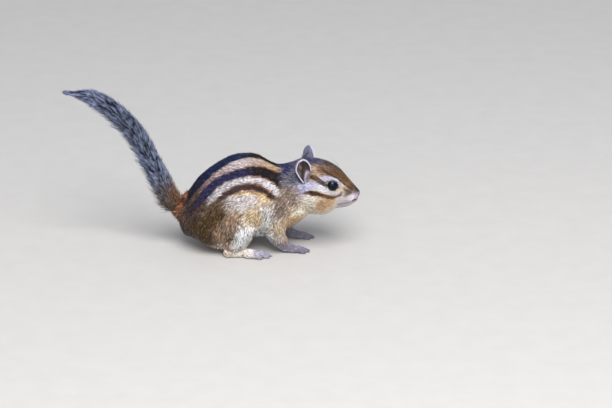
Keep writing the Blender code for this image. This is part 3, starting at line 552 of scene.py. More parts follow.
def striped(colour, points, tones, bare):
    """The back's stripes and their rusty edges laid over a colour, where bare is 1."""
    wobble = mottle(points, 2.2, 3) * 1.4 + mottle(points, 0.9, 4) * 0.8
    angle = stripe_angle(points) + wobble
    x = points[:, 0]
    edges = [np.interp(x, STRIPE_X, row) for row in STRIPE_EDGES]
    front = smooth(17, 29, x + 3 * wobble)
    rear = 1 - smooth(-19, -4, x + 2 * wobble)
    inner = mixed(tones["inner_rump"], tones["inner_mid"], smooth(-15, 13, x))
    outer = mixed(tones["outer_dark"], tones["rump_purple"] * 0.6, 0.85 * rear)
    # the blue of the dark bands is painted sky reflection over their own near-black
    bands = (
        mixed(tones["middle_stripe"], tones["front_dark"], np.maximum(front, 0.8 * rear)),
        mixed(inner, tones["inner_front"], smooth(18, 40, x)),
        mixed(outer, tones["front_dark"], front),
        tones["outer_white"],
        mixed(tones["low_dark"], tones["front_dark"], 0.6 * front),
        tones["flank_ochre"],
    )
    inside = np.full(len(x), -90.0)
    for band, edge, (start, end) in zip(bands, edges, STRIPE_ENDS):
        mask = smooth(inside - 2, inside + 2, angle) * (1 - smooth(edge - 2, edge + 2, angle))
        mask *= smooth(start - 4, start + 4, x + wobble) * (1 - smooth(end - 3.5, end + 2, x + wobble))
        colour = mixed(colour, band, mask * bare)
        inside = edge
    for edge, (start, end) in zip(edges[1:5], STRIPE_ENDS[1:5]):
        fringe = 1 - smooth(0.5, 3.0, np.abs(angle - edge + wobble))
        fringe *= smooth(start - 2, start + 12, x) * (1 - smooth(end - 4, end + 1, x)) * (0.25 + 0.35 * front)
        colour = mixed(colour, tones["rump_rust"], fringe * bare)
    return colour


def face_marked(colour, points, local, tones, head):
    """The face's lines and the lids laid over a colour, with painted shade in the mouth's crease, in the lip's split
    and in the nostrils.
    """
    ragged = mottle(points, 0.7, 9) * 0.3 + mottle(points, 1.8, 10) * 0.3
    for line, soft, first, last in FACE_LINES:
        line = np.array(line)
        distance, along = from_line(local, line[:, :3])
        steps = steps_of(line[:, :3])
        half = np.interp(along, steps / steps[-1], line[:, 3])
        mask = 1 - smooth(half - soft * 0.5, half + soft * 0.5, distance + ragged)
        colour = mixed(colour, mixed(tones[first], tones[last], smooth(0.1, 0.6, along)), mask * head)
    far, outside = past_lids(local)
    colour = mixed(colour, tones["lid"], (1 - smooth(1.5, 3.2, outside)) * (far < LID_REACH))
    # the mouth's crease takes the lid tone as painted shade, partly dark bare lip; the nostrils take it as painted
    # shadow of their openings
    mouth = 0.85 * (1 - smooth(0.2, 0.75, off_line(local, MOUTH_LINE)))
    dark = np.maximum(mouth, 0.9 * (1 - smooth(0.3, 1.0, off_nostril(local))))
    colour = mixed(colour, tones["lid"], dark * head)
    # dark red along the lip's split: painted shadow
    return mixed(colour, tones["mouth"], 0.9 * (1 - smooth(0.4, 1.0, off_line(local, GAPE_SHADOW_LINE))) * head)


def coat_colour(points, tones, stray=0.0):
    """Colour of skin and hair rooted at each point: ground tones, the back's stripes, the face's marks, the tail.

    stray moves each point's place among the ground tones, so that neighbouring tones mingle hair by hair.
    """
    head = headness(points)
    local = face_side(points)
    warp = np.column_stack([mottle(points, 4.0, 51 + k) for k in range(3)]) * 1.6 + stray
    on_body = ground_tone(one_side(points) + warp, TONES_BODY, tones)
    colour = mixed(on_body, ground_tone(local + warp * 0.5, TONES_HEAD, tones), head)
    colour = striped(colour, points, tones, 1 - head)
    colour = face_marked(colour, points, local, tones, head)
    near, _, past = tail_place(points)
    core = mixed(tones["rump_rust"], tones["tail_core"], smooth(4, 14, past))
    return np.clip(mixed(colour, core, smooth(-3, 3, past) * (1 - smooth(1.3, 1.8, near))), 0, 1)


def grizzled(colours, places, luck, chance):
    """Colours of single tufts: lighter and darker by clumps and by chance, with some near-black and some pale ones."""
    n = len(colours)
    head = headness(places)
    banded = (1 - head) * (1 - smooth(60, 80, stripe_angle(places))) * smooth(-24, -12, places[:, 0])
    deep = head * (1 - smooth(0.12, 0.34, colours @ numbers(0.3, 0.6, 0.1)))
    strong = 0.34 - 0.16 * banded - 0.12 * head + 0.2 * deep
    clump = mottle(places, 1.5, 31) * 0.6 + mottle(places, 3.5, 32) * 0.4
    colours = colours * np.exp(strong * (0.8 * clump + chance.normal(0, 0.8, n)))[:, None]
    dark = (chance.random(n) < 0.16 * (1 - 0.7 * banded) + 0.12 * deep) & (luck < 0.6)
    colours = np.where(dark[:, None], colours * 0.45, colours)
    pale = (chance.random(n) < 0.15 * (1 - 0.85 * banded) * (1 - 0.5 * head))[:, None]
    return np.clip(np.where(pale, colours * 1.5 + 0.07, colours), 0, 0.95)


def tail_colour(at, angle, luck, shade, tones):
    """Colour of the tail's hair before its bands: rust over the root, then mottled dark and pale blue-grey."""
    past = at - TAIL_ROOT
    base = mixed(tones["tail_dark"], tones["tail_pale"], smooth(0.42, 0.66, luck))
    base = base * (0.75 + 0.5 * shade)[:, None]
    base = base * np.interp(past, (22, 36, 66, 88, 104, 118), (1, 0.85, 0.74, 1, 1.25, 1.6))[:, None]
    base = mixed(base, mixed(tones["tail_core"], tones["thigh_dark"], shade), 0.9 * (1 - smooth(4, 28, past)))
    fringe = smooth(0.2, 0.9, np.cos(angle)) * (shade > 0.45)
    base = mixed(base, tones["tail_pale"] * 1.25, 0.6 * fringe * smooth(10, 30, past))
    rust = (1 - smooth(3, 17, past + 8 * (shade - 0.5))) * smooth(-0.3, 0.7, -np.cos(angle))
    return mixed(base, tones["tail_rust"], rust * (0.35 + 0.65 * (luck > 0.4)))


# Meshes


def store(mesh, name, values):
    """Gives every point of a mesh a colour or a number."""
    if values.ndim == 2:
        layer = mesh.attributes.new(name, "FLOAT_COLOR", "POINT")
        layer.data.foreach_set("color", np.column_stack((values, np.ones(len(values)))).ravel())
    else:
        mesh.attributes.new(name, "FLOAT", "POINT").data.foreach_set("value", values)


def smoothed(mesh):
    mesh.polygons.foreach_set("use_smooth", np.ones(len(mesh.polygons), bool))
    mesh.update()


def linked(mesh, name):
    """A smooth object of a mesh."""
    smoothed(mesh)
    piece = bpy.data.objects.new(name, mesh)
    bpy.context.scene.collection.objects.link(piece)
    return piece


def settled(bm, digits):
    """A bmesh with its parts in the order of their places: a sphere's faces come in another order each run."""
    verts = sorted(bm.verts, key=lambda vert: [round(part, digits) for part in vert.co])
    number = {vert: k for k, vert in enumerate(verts)}
    rings = []
    for face in bm.faces:
        ring = [number[vert] for vert in face.verts]
        first = ring.index(min(ring))
        rings.append(ring[first:] + ring[:first])
    result = bmesh.new()
    corners = [result.verts.new(vert.co) for vert in verts]
    for ring in sorted(rings):
        result.faces.new([corners[k] for k in ring])
    bm.free()
    return result


def made(bm, name):
    """A smooth object from a bmesh."""
    mesh = bpy.data.meshes.new(name)
    bm.to_mesh(mesh)
    bm.free()
    return linked(mesh, name)


def finished(piece, material, replaced=()):
    piece.data.materials.append(material)
    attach(piece, "root")
    if replaced:
        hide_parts(*replaced)


def arrays(mesh):
    """Points and normals of a mesh."""
    result = []
    for key in ("co", "normal"):
        values = np.zeros(len(mesh.vertices) * 3)
        mesh.vertices.foreach_get(key, values)
        result.append(values.reshape(-1, 3))
    return result


def unwrapped(piece, margin):
    """Gives a piece its UV map."""
    piece.select_set(True)
    bpy.context.view_layer.objects.active = piece
    bpy.ops.object.mode_set(mode="EDIT")
    bpy.ops.mesh.select_all(action="SELECT")
    bpy.ops.uv.smart_project(angle_limit=1.15, island_margin=margin)
    bpy.ops.object.mode_set(mode="OBJECT")
    piece.data.uv_layers[0].name = UV_MAP


def bridged(bm, rings, closed=False):
    """Faces from ring to ring of drawn places, with caps at the ends or else closed to a band."""
    rings = [[bm.verts.new(placed(p)) for p in ring] for ring in rings]
    for one, two in zip(rings, rings[1:] + rings[:1] if closed else rings[1:]):
        for k in range(len(one)):
            m = (k + 1) % len(one)
            bm.faces.new((one[k], one[m], two[m], two[k]))
    if not closed:
        bm.faces.new(rings[0][::-1])
        bm.faces.new(rings[-1])


def horn(bm, path, radii, sides=8, across=(0.13, 0.31, 0.94)):
    """Adds a closed tapering tube along a path of drawn millimetres.

    across is any way that the path never takes: the tube's first edge lies square to both.
    """
    ways = unit(np.gradient(path, axis=0))
    side = unit(np.cross(ways, across))
    turns = [math.tau * k / sides for k in range(sides)]
    rings = zip(path, side, np.cross(side, ways), radii)
    bridged(bm, [[p + r * (math.cos(t) * a + math.sin(t) * b) for t in turns] for p, a, b, r in rings])


def tail_axis(count):
    """Places along the tail's line, a smooth curve through its points, with directions and half widths."""
    t = np.linspace(0, TAIL_STEPS[-1], count)
    slopes = np.gradient(TAIL, TAIL_STEPS, axis=0)
    i = np.clip(np.searchsorted(TAIL_STEPS, t, side="right") - 1, 0, len(TAIL_STEPS) - 2)
    h = (TAIL_STEPS[i + 1] - TAIL_STEPS[i])[:, None]
    u = (t[:, None] - TAIL_STEPS[i][:, None]) / h
    p = (
        (2 * u**3 - 3 * u**2 + 1) * TAIL[i]
        + (u**3 - 2 * u**2 + u) * h * slopes[i]
        + (3 * u**2 - 2 * u**3) * TAIL[i + 1]
        + (u**3 - u**2) * h * slopes[i + 1]
    )
    return t, p[:, :3], unit(np.gradient(p[:, :3], axis=0)), p[:, 3]


def tail_core(count=90):
    """Closed tube along the tail under its hair."""
    _, centres, _, widths = tail_axis(count)
    taper = np.minimum(1, 0.25 + np.arange(count)[::-1] / 6)
    bm = bmesh.new()
    horn(bm, centres, np.maximum(widths * TAIL_CORE, 0.5) * taper, 16, (0, 1, 0))
    bmesh.ops.recalc_face_normals(bm, faces=bm.faces)
    return bm


# Eyes and lids


def eye_frame():
    """The eye's middle, its outward axis, its forward and its upward way, on the right of the unturned head."""
    lean, yaw = math.radians(EYE["lean"]), math.radians(EYE["yaw"])
    out = numbers(0, -math.cos(lean), -math.sin(lean))
    out = numbers(-math.sin(yaw) * out[1], math.cos(yaw) * out[1], out[2])
    up = unit(numbers(0, 0, 1) - out[2] * out)
    return numbers(EYE["centre"]), out, np.cross(up, out), up


def lid_angle(around):
    """Degrees from the eye's axis to the edge of the lids, round it from the front corner upwards."""
    c = np.cos(around + 0.4)
    return 39.0 + np.where(c > 0, 24.0 * np.abs(c) ** 3, 20.0 * np.abs(c) ** 1.8) - 4.0 * np.sin(around)


def round_eye(local):
    """Distance from the eye's middle, degrees from its axis, and the way round it."""
    centre, out, ahead, up = eye_frame()
    way = local - centre
    far = np.linalg.norm(way, axis=1)
    way = way / np.maximum(far, 1e-9)[:, None]
    return far, np.degrees(np.arccos(np.clip(way @ out, -1, 1))), np.arctan2(way @ up, way @ ahead)


def past_lids(local):
    """Distance from the eye's middle, and degrees outside the edge of the lids."""
    far, apart, around = round_eye(local)
    return far, apart - lid_angle(around)


def lidded(points):
    """Skin points near the eyes drawn over the balls as lids, leaving an almond opening."""
    unturned = turned(points, -HEAD_TURN)
    local = one_side(unturned)
    centre, out, ahead, up = eye_frame()
    far, apart, around = round_eye(local)
    edge = lid_angle(around)
    # skin from 48 to 68 degrees off the axis spreads in to the lids' edge and lies up to a millimetre over the ball
    share = (1 - smooth(66, 74, apart)) * smooth(4.2, 4.4, far) * (far < 7)
    to = edge + np.clip((apart - 48) / 20, 0, 1) * (68 - edge)
    high = 4.38 + 0.95 * (1 - np.exp(-(to - edge) / 6.0))
    apart = np.radians(apart + (to - apart) * share)
    far = far + (high - far) * share
    sideways = np.cos(around)[:, None] * ahead + np.sin(around)[:, None] * up
    moved = centre + far[:, None] * (np.cos(apart)[:, None] * out + np.sin(apart)[:, None] * sideways)
    local = np.where(share[:, None] > 0, moved, local)
    local[:, 1] = np.where(share > 0, local[:, 1] * side_signs(unturned), unturned[:, 1])
    return turned(local, HEAD_TURN)


def make_eyes(material):
    for name, side in (("eye_right", 1), ("eye_left", -1)):
        centre = turned(numbers(EYE["centre"]) * (1, side, 1), HEAD_TURN)
        bm = bmesh.new()
        bmesh.ops.create_uvsphere(bm, u_segments=48, v_segments=28, radius=EYE["radius"] * MM)
        bm = settled(bm, 6)
        bmesh.ops.translate(bm, verts=bm.verts, vec=Vector(placed(centre)))
        finished(made(bm, "ball_" + name), material, (name,))


def make_lids(material):
    """The bare edges of the lids: a closed band round each eye's opening."""
    centre, out, ahead, up = eye_frame()
    for name, side in (("lids_right", 1), ("lids_left", -1)):
        rings = []
        for around in (math.tau * k / LID_STEPS for k in range(LID_STEPS)):
            sideways = math.cos(around) * ahead + math.sin(around) * up
            ring = []
            for wider, far in LID_PROFILE:
                a = math.radians(float(lid_angle(around)) + wider)
                p = centre + far * (math.cos(a) * out + math.sin(a) * sideways)
                ring.append(turned(p * (1, side, 1), HEAD_TURN))
            rings.append(ring)
        bm = bmesh.new()
        bridged(bm, rings, closed=True)
        bmesh.ops.recalc_face_normals(bm, faces=bm.faces)
        finished(made(bm, name), material)


# Skin


def coat_depth(points, lengths):
    """Millimetres that the skin lies inside the coat's outer form."""
    depth = RISE * lengths
    local = turned(points, -HEAD_TURN)
    # the crown and the top of the back, where the hair would stand over the solids
    for extra, places, middle, reach in (
        (0.9, local, (77.0, 0.0, 65.0), (11.0, 12.0, 7.0)),
        (0.7, points, (0.0, 0.0, 62.0), (13.0, 14.0, 12.0)),
    ):
        depth += extra * np.exp(-np.sum(((places - middle) / reach) ** 2, axis=1))
    bare = 1 - smooth(4.8, 7.0, off_place(one_side(local), EYE["centre"]))
    nose = 1 - smooth(2.5, 5.5, off_place(local, NOSE))
    near, _, past = tail_place(points)
    tail = smooth(-2, 2, past) * (1 - smooth(1.3, 1.8, near))
    return depth * (1 - bare) * (1 - nose) * (1 - tail)


def fine_share(points):
    """1 where the skin needs its finest faces, down to 0 where coarse ones do."""
    local = face_side(points)
    muzzle = smooth(84, 94, local[:, 0]) * smooth(60, 56, local[:, 2])
    eye = 1 - smooth(5.0, 7.5, off_place(local, EYE["centre"]))
    return np.maximum(np.maximum(muzzle, eye), 0.35 * (points[:, 2] < 6.0))


def carved(points):
    """Millimetres that the mouth, the nostrils and the cleft under the nose go into the skin."""
    local = face_side(points)
    furrows = (
        (0.6, off_line(local, MOUTH_LINE), 0.5),
        (0.35, off_line(local, CLEFT_LINE), 0.45),
        (0.75, off_nostril(local), 0.6),
        (0.3, off_line(local, WING_LINE), 0.4),
    )
    return sum(deep * bell(distance, width) for deep, distance, width in furrows)


def eased(points, edges, rounds, strength=0.5):
    """Points drawn towards the middle of their neighbours."""
    counts = np.bincount(edges.ravel(), minlength=len(points))[:, None]
    for _ in range(rounds):
        sums = np.zeros_like(points)
        np.add.at(sums, edges[:, 0], points[edges[:, 1]])
        np.add.at(sums, edges[:, 1], points[edges[:, 0]])
        points = points + (sums / counts - points) * strength
    return points


def swollen(node):
    """A CAD node's mesh with its loose triangles joined, a little thicker."""
    bm = bmesh.new()
    bm.from_mesh(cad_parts[node].data)
    bmesh.ops.remove_doubles(bm, verts=bm.verts, dist=1e-6)
    bmesh.ops.recalc_face_normals(bm, faces=bm.faces)
    bm.normal_update()
    for vert in bm.verts:
        vert.co += vert.normal * SWELL * MM
    return bm


def make_skin(fur):
    """One closed skin over all the flesh solids and the tail's core."""
    joined = bmesh.new()
    for part in (*map(swollen, FLESH), tail_core()):
        mesh = bpy.data.meshes.new("part")
        part.to_mesh(mesh)
        part.free()
        joined.from_mesh(mesh)
        bpy.data.meshes.remove(mesh)
    pelt = made(joined, "pelt")
    bpy.context.view_layer.objects.active = pelt
    modifier = pelt.modifiers.new("Remesh", "REMESH")
    modifier.mode = "VOXEL"
    modifier.voxel_size = fur.voxel
    bpy.ops.object.modifier_apply(modifier="Remesh")

    mesh = pelt.data
    for least in (0.0, 0.4):
        bm = bmesh.new()
        bm.from_mesh(mesh)
        fine = fine_share(drawn([tuple(face.calc_center_median()) for face in bm.faces])) > least
        chosen = {edge for face, wanted in zip(bm.faces, fine) if wanted for edge in face.edges}
        bmesh.ops.subdivide_edges(bm, edges=list(chosen), cuts=1, use_grid_fill=True)
        bm.to_mesh(mesh)
        bm.free()
    edges = np.zeros(len(mesh.edges) * 2, np.int32)
    mesh.edges.foreach_get("vertices", edges)
    edges = edges.reshape(-1, 2)
    mesh.vertices.foreach_set("co", eased(arrays(mesh)[0], edges, 4).ravel())
    mesh.update()
    points, normals = arrays(mesh)
    depth = coat_depth(drawn(points), lie(drawn(points), normals)[1])
    points = eased(points - normals * depth[:, None] * MM, edges, 2)
    points -= normals * carved(drawn(points))[:, None] * MM
    points = placed(lidded(drawn(points)))
    points[:, 2] = np.maximum(points[:, 2], 0.0)
    mesh.vertices.foreach_set("co", points.ravel())
    smoothed(mesh)
    unwrapped(pelt, 0.002)
    return pelt


# Coat


def skin_roots(mesh, chance, count_of, unit_size=MM):
    """Random places on a mesh: points, normals and UVs, as many on each triangle as count_of says."""
    points, normals = arrays(mesh)
    mesh.calc_loop_triangles()
    faces, loops = np.zeros((2, len(mesh.loop_triangles) * 3), np.int32)
    mesh.loop_triangles.foreach_get("vertices", faces)
    mesh.loop_triangles.foreach_get("loops", loops)
    faces, loops = faces.reshape(-1, 3), loops.reshape(-1, 3)
    uv = np.zeros(len(mesh.loops) * 2)
    mesh.uv_layers[UV_MAP].data.foreach_get("uv", uv)
    uv = uv.reshape(-1, 2)[loops]
    corners = points[faces]
    area = 0.5 * np.linalg.norm(np.cross(corners[:, 1] - corners[:, 0], corners[:, 2] - corners[:, 0]), axis=1)
    middles = corners.mean(axis=1)
    middles = drawn(middles) if unit_size == MM else middles
    want = area / unit_size**2 * count_of(middles, unit(normals[faces].mean(axis=1)))
    number = np.floor(want + chance.random(len(want))).astype(int)
    chosen = np.repeat(np.arange(len(faces)), number)
    u, v = chance.random((2, len(chosen), 1))
    over = u + v > 1
    u, v = np.where(over, 1 - u, u), np.where(over, 1 - v, v)
    weights = (1 - u - v, u, v)
    p = sum(w * corners[chosen, k] for k, w in enumerate(weights))
    n = unit(sum(w * normals[faces[chosen, k]] for k, w in enumerate(weights)))
    t = sum(w * uv[chosen, k] for k, w in enumerate(weights))
    return p, n, t


def tufts(name, hairs, stations):
    """Closed three-sided hairs as one piece: each leaves its root, bends over along its way and ends in a point.

    hairs are arrays of roots, ways, lifts, lengths, half widths, colours, luck and UVs.
    """
    roots, ways, lifts, lengths, widths, colours, luck, uv = hairs
    n, rings = len(roots), len(stations)
    per = 3 * rings + 1
    sides = unit(np.cross(lifts, ways))
    upward = lifts / np.maximum(np.linalg.norm(lifts, axis=1, keepdims=True), 1e-9)
    points = np.zeros((n, per, 3))
    along = np.ones((n, per))
    for r, (share, rise, wide) in enumerate(stations):
        centre = roots + ways * lengths[:, None] * share + lifts * rise
        half = (widths * wide)[:, None]
        points[:, 3 * r] = centre + sides * half
        points[:, 3 * r + 1] = centre - sides * half
        points[:, 3 * r + 2] = centre + upward * half * 0.8
        along[:, 3 * r : 3 * r + 3] = share
    points[:, -1] = roots + ways * lengths[:, None] + lifts
    points[:, :, 2] = np.maximum(points[:, :, 2], 0.00002)
    last = 3 * rings - 3
    faces = [(0, 1, 2)]
    for a in range(0, last, 3):
        for k, m in ((0, 1), (1, 2), (2, 0)):
            faces += [(a + k, a + 3 + k, a + 3 + m), (a + k, a + 3 + m, a + m)]
    faces += [(last + k, per - 1, last + (k + 1) % 3) for k in range(3)]
    faces = (np.array(faces)[None] + (np.arange(n) * per)[:, None, None]).reshape(-1, 3)
    patch = np.zeros((n, per, 2))
    across = np.tile((0.0, HAIR_PATCH, HAIR_PATCH / 2), rings + 1)[:per]
    patch[:, :, 0] = uv[:, None, 0] + across - HAIR_PATCH / 2
    patch[:, :, 1] = uv[:, None, 1] + along * HAIR_PATCH

    mesh = bpy.data.meshes.new(name)
    mesh.from_pydata(points.reshape(-1, 3), [], faces)
    store(mesh, "coat", np.repeat(colours, per, axis=0))
    store(mesh, "along", along.ravel())
    store(mesh, "chance", np.repeat(luck, per))
    layer = mesh.uv_layers.new(name=UV_MAP)
    corners = np.zeros(len(mesh.loops), np.int32)
    mesh.loops.foreach_get("vertex_index", corners)
    layer.data.foreach_set("uv", patch.reshape(-1, 2)[corners].ravel())
    return linked(mesh, name)


def picked(hairs, chosen):
    return [values[chosen] for values in hairs]


def half_width(length):
    """Half the width of a tuft of that length, in millimetres."""
    return 0.1 + 0.036 * np.asarray(length)


def make_coat(pelt, tones, fur, material):
    """Short and middling hair over all of the skin but the tail."""
    chance = np.random.default_rng(SEEDS["coat"])

    def count(points, normals):
        _, length = lie(points, normals)
        near, _, past = tail_place(points)
        local = face_side(points)
        far, outside = past_lids(local)
        nose = off_place(local, (NOSE[0] + 1, 0, NOSE[2]))
        keep = np.where(far < LID_REACH, smooth(2.2, 3.6, outside), 1) * smooth(2.2, 3.4, nose)
        keep *= smooth(0.2, 0.6, points[:, 2]) * smooth(0.35, 0.8, off_line(local, MOUTH_LINE))
        keep *= 1 - smooth(3, 6, past) * (1 - smooth(1.2, 1.6, near))
        return keep * fur.cover / (length * half_width(length) * 1.25)

    roots, normals, uv = skin_roots(pelt.data, chance, count)
    places = drawn(roots)
    ways, length = lie(places, normals)
    n = len(roots)
    luck = chance.random(n)
    swirl = mottle(places, 3.0, 21) * 0.22 + mottle(places, 1.1, 22) * 0.18 + chance.normal(0, 0.12, n)
    ways = unit(ways + np.cross(normals, ways) * swirl[:, None])
    size = length * chance.uniform(0.75, 1.2, n)
    rise = RISE * length * chance.uniform(0.55, 1.25, n)
    half = half_width(length) * chance.uniform(0.8, 1.2, n)
    colours = coat_colour(places + ways * (0.6 * size)[:, None], tones, chance.normal(0, 1.1, (n, 3)))
    colours = grizzled(colours, places, luck, chance)
    hairs = (roots, ways, normals * rise[:, None] * MM, size * MM, half * MM, colours, luck, uv)

    x, y, z = places.T
    head = headness(places) > 0.5
    face_middle = (x - HEAD_PIVOT[0]) * math.tan(math.radians(HEAD_TURN))
    low = ~head & (z <= BACK_Z)
    for region, slot, inside, middle in (
        ("face", "coat_head", head & (x > FACE_X), face_middle),
        ("head", "coat_head", head & (x <= FACE_X), None),
        ("back", "coat_body", ~head & (z > BACK_Z), 0),
        ("side", "coat_body", low & (x < FRONT_X), 0),
        ("front", "coat_body", low & (x >= FRONT_X), 0),
    ):
        if middle is None:
            parts = {"coat_" + region: inside}
        else:
            parts = {f"coat_{region}_right": inside & (y < middle), f"coat_{region}_left": inside & (y >= middle)}
        for name, chosen in parts.items():
            finished(tufts(name, picked(hairs, chosen), HAIR), material)


def make_tail(tones, fur, material):
    """Long hair round the tail's core, in four pieces: each hair ends on the tail's outer form."""
    chance = np.random.default_rng(SEEDS["tail"])
    t, centres, axis, widths = tail_axis(400)
    side = unit(np.cross(axis, (0, 1, 0)))
    up = np.cross(side, axis)
    start = TAIL_ROOT - 2.5
    total = t[-1]
    n = fur.tail_tufts
    at = start + (total - start) * chance.random(n) ** 0.92
    angle = chance.uniform(0, math.tau, n)
    young = 0.45 + 0.55 * smooth(TAIL_ROOT - 2, TAIL_ROOT + 14, at)
    length = fur.tail_length / MM * chance.uniform(0.65, 1.15, n) * young
    tip = at + length * 0.93
    beyond = np.maximum(tip - total, 0) * 0.35
    i = np.clip(np.searchsorted(t, at), 0, len(t) - 1)
    j = np.clip(np.searchsorted(t, tip), 0, len(t) - 1)

    def outward(k):
        return np.cos(angle)[:, None] * side[k] + np.sin(angle)[:, None] * up[k]

    roots = centres[i] + outward(i) * np.maximum(widths[i] * 0.4, 0.4)[:, None]
    round_it = np.column_stack((at + 0.7 * length, 5 * np.cos(angle), 5 * np.sin(angle)))
    clump = 0.6 * mottle(round_it, 1.9, 5) + 0.7 * mottle(round_it, 0.9, 6)
    stray = chance.random(n) ** 3
    rear = smooth(0.1, 0.8, np.cos(angle))
    share = 0.62 + 0.36 * chance.random(n) + 0.1 * clump + 0.28 * stray + rear * (0.45 * stray * stray + 0.1 * clump)
    reach = widths[j] * (1 + 0.12 * (1 - smooth(TAIL_ROOT, TAIL_ROOT + 24, at))) * share
    reach *= 1 - 0.55 * smooth(total - 6, total + 6, tip) * chance.random(n)
    beyond *= chance.uniform(0.0, 1.7, n)
    ends = centres[j] + axis[j] * beyond[:, None] + outward(j) * reach[:, None]
    ends += chance.normal(0, 0.35, (n, 3))
    whole = ends - roots
    lift = outward(i) * np.sum(whole * outward(i), axis=1, keepdims=True)
    ways = whole - lift
    length = np.linalg.norm(ways, axis=1)
    luck = np.clip(0.5 + 0.5 * clump + chance.normal(0, 0.16, n), 0, 1)
    half = 0.19 * chance.uniform(0.7, 1.25, n)
    colours = tail_colour(at + 0.5 * length, angle, luck, chance.random(n), tones)
    uv = np.column_stack((0.05 + 0.9 * angle / math.tau, 0.02 + 0.95 * (at - start) / (total - start)))
    hairs = (placed(roots), unit(ways), lift * MM, length * MM, half * MM, colours, luck, uv)
    cuts = np.linspace(start, total, 5)
    for k in range(4):
        piece = tufts(f"coat_tail_{k + 1}", picked(hairs, (at >= cuts[k]) & (at <= cuts[k + 1])), TAIL_HAIR)
        finished(piece, material, (f"tail_{k + 1}",))


# Ears


def ear_shape(lean, yaw):
    """An ear's thin cup on the right of the unturned head, in drawn millimetres, and its turn."""
    bm = bmesh.new()
    bmesh.ops.create_uvsphere(bm, u_segments=56, v_segments=36, radius=1.0)
    cut = dict(plane_co=(0, EAR["mouth"], 0), plane_no=(0, -1, 0), clear_outer=True)
    bmesh.ops.bisect_plane(bm, geom=[*bm.verts, *bm.edges, *bm.faces], **cut)
    for vert in bm.verts:
        low = max(-vert.co.z, 0)
        vert.co.x *= 1 / max(1 - low * low, 0.3) ** 0.42 if vert.co.x > 0 else 1 - 0.5 * low - 0.1 * low * low
        vert.co.x *= 1 - 0.14 * max(vert.co.z, 0) ** 2
        vert.co.x += 0.08 * low - 0.16 * max(vert.co.z, 0)
        vert.co.z += 0.14 * (1 - vert.co.z**2)
    cup = made(settled(bm, 4), "cup")
    turn = Matrix.Rotation(math.radians(yaw), 4, "Z") @ Matrix.Rotation(math.radians(lean), 4, "Y")
    turn = turn @ Matrix.Rotation(math.radians(EAR["tip"]), 4, "X")
    cup.data.transform(Matrix.Translation(EAR["centre"]) @ turn @ Matrix.Diagonal((*EAR["radii"], 1)))
    wall = cup.modifiers.new("wall", "SOLIDIFY")
    wall.thickness = EAR["wall"]
    wall.offset = 0
    soft = cup.modifiers.new("soft", "SUBSURF")
    soft.levels = soft.render_levels = 1
    bpy.context.view_layer.objects.active = cup
    for modifier in ("wall", "soft"):
        bpy.ops.object.modifier_apply(modifier=modifier)
    return cup, np.array(turn.to_3x3())


def ear_place(points, normals, turn):
    """Places in shares of an ear's radii, which of them lie in its hollow, and how near its rim: 0 there, less away."""
    past = points - EAR["centre"]
    own = past @ turn / EAR["radii"]
    return own, np.sum(normals * past, axis=1) < 0, -np.abs(own[:, 1] - EAR["mouth"])


def pale_share(own, hollow):
    """1 on the pale lower front inside an ear and along its front edge outside, at places in shares of its radii."""
    inside = smooth(0.4, 0.62, own[:, 0] - 0.5 * np.minimum(own[:, 2] + 0.25, 0)) * smooth(0.0, -0.35, own[:, 2])
    outside = smooth(0.22, 0.06, own[:, 1]) * smooth(-0.3, 0.1, own[:, 0]) * (own[:, 2] > -0.7)
    return np.where(hollow, inside, outside)


def folded(cup, turn, tones):
    """Gives an ear's skin its colours, with painted shade towards its foot and in its pits and a painted highlight on
    its folds, and returns its points with the folds raised.
    """
    points, normals = arrays(cup.data)
    own, hollow, rim = ear_place(points, normals, turn)
    flat = own * (1, 0, 1)
    ridge = hollow * sum(high * bell(off_line(flat, line), wide) for line, wide, high in EAR_FOLDS)
    deep = hollow * np.max([bell(off_line(flat, line), 0.2) for line in EAR_PIT_SHADES], axis=0)
    points = points + turn @ numbers(0, -1, 0) * (0.9 * ridge)[:, None]
    base = mixed(tones["ear_outside"], tones["ear_inside"], hollow.astype(float))
    # the skin darkens towards the ear's foot as painted shade of the hollow, with a random mottle of its own tone
    base = base * (0.8 + 0.35 * smooth(-0.6, 0.9, own[:, 2]) + 0.25 * mottle(points, 1.4, 8))[:, None]
    # folds lighter as painted highlight, pits darker as painted shade
    base = base * (1 + 2.2 * ridge - 0.85 * deep)[:, None]
    pale = np.maximum(smooth(-0.13, -0.04, rim) * (own[:, 2] > -0.9), 0.8 * pale_share(own, hollow))
    colours = mixed(base, tones["ear_rim"] * (1, 0.9, 0.92), 0.85 * pale)
    store(cup.data, "coat", np.clip(colours, 0, 1))
    return points


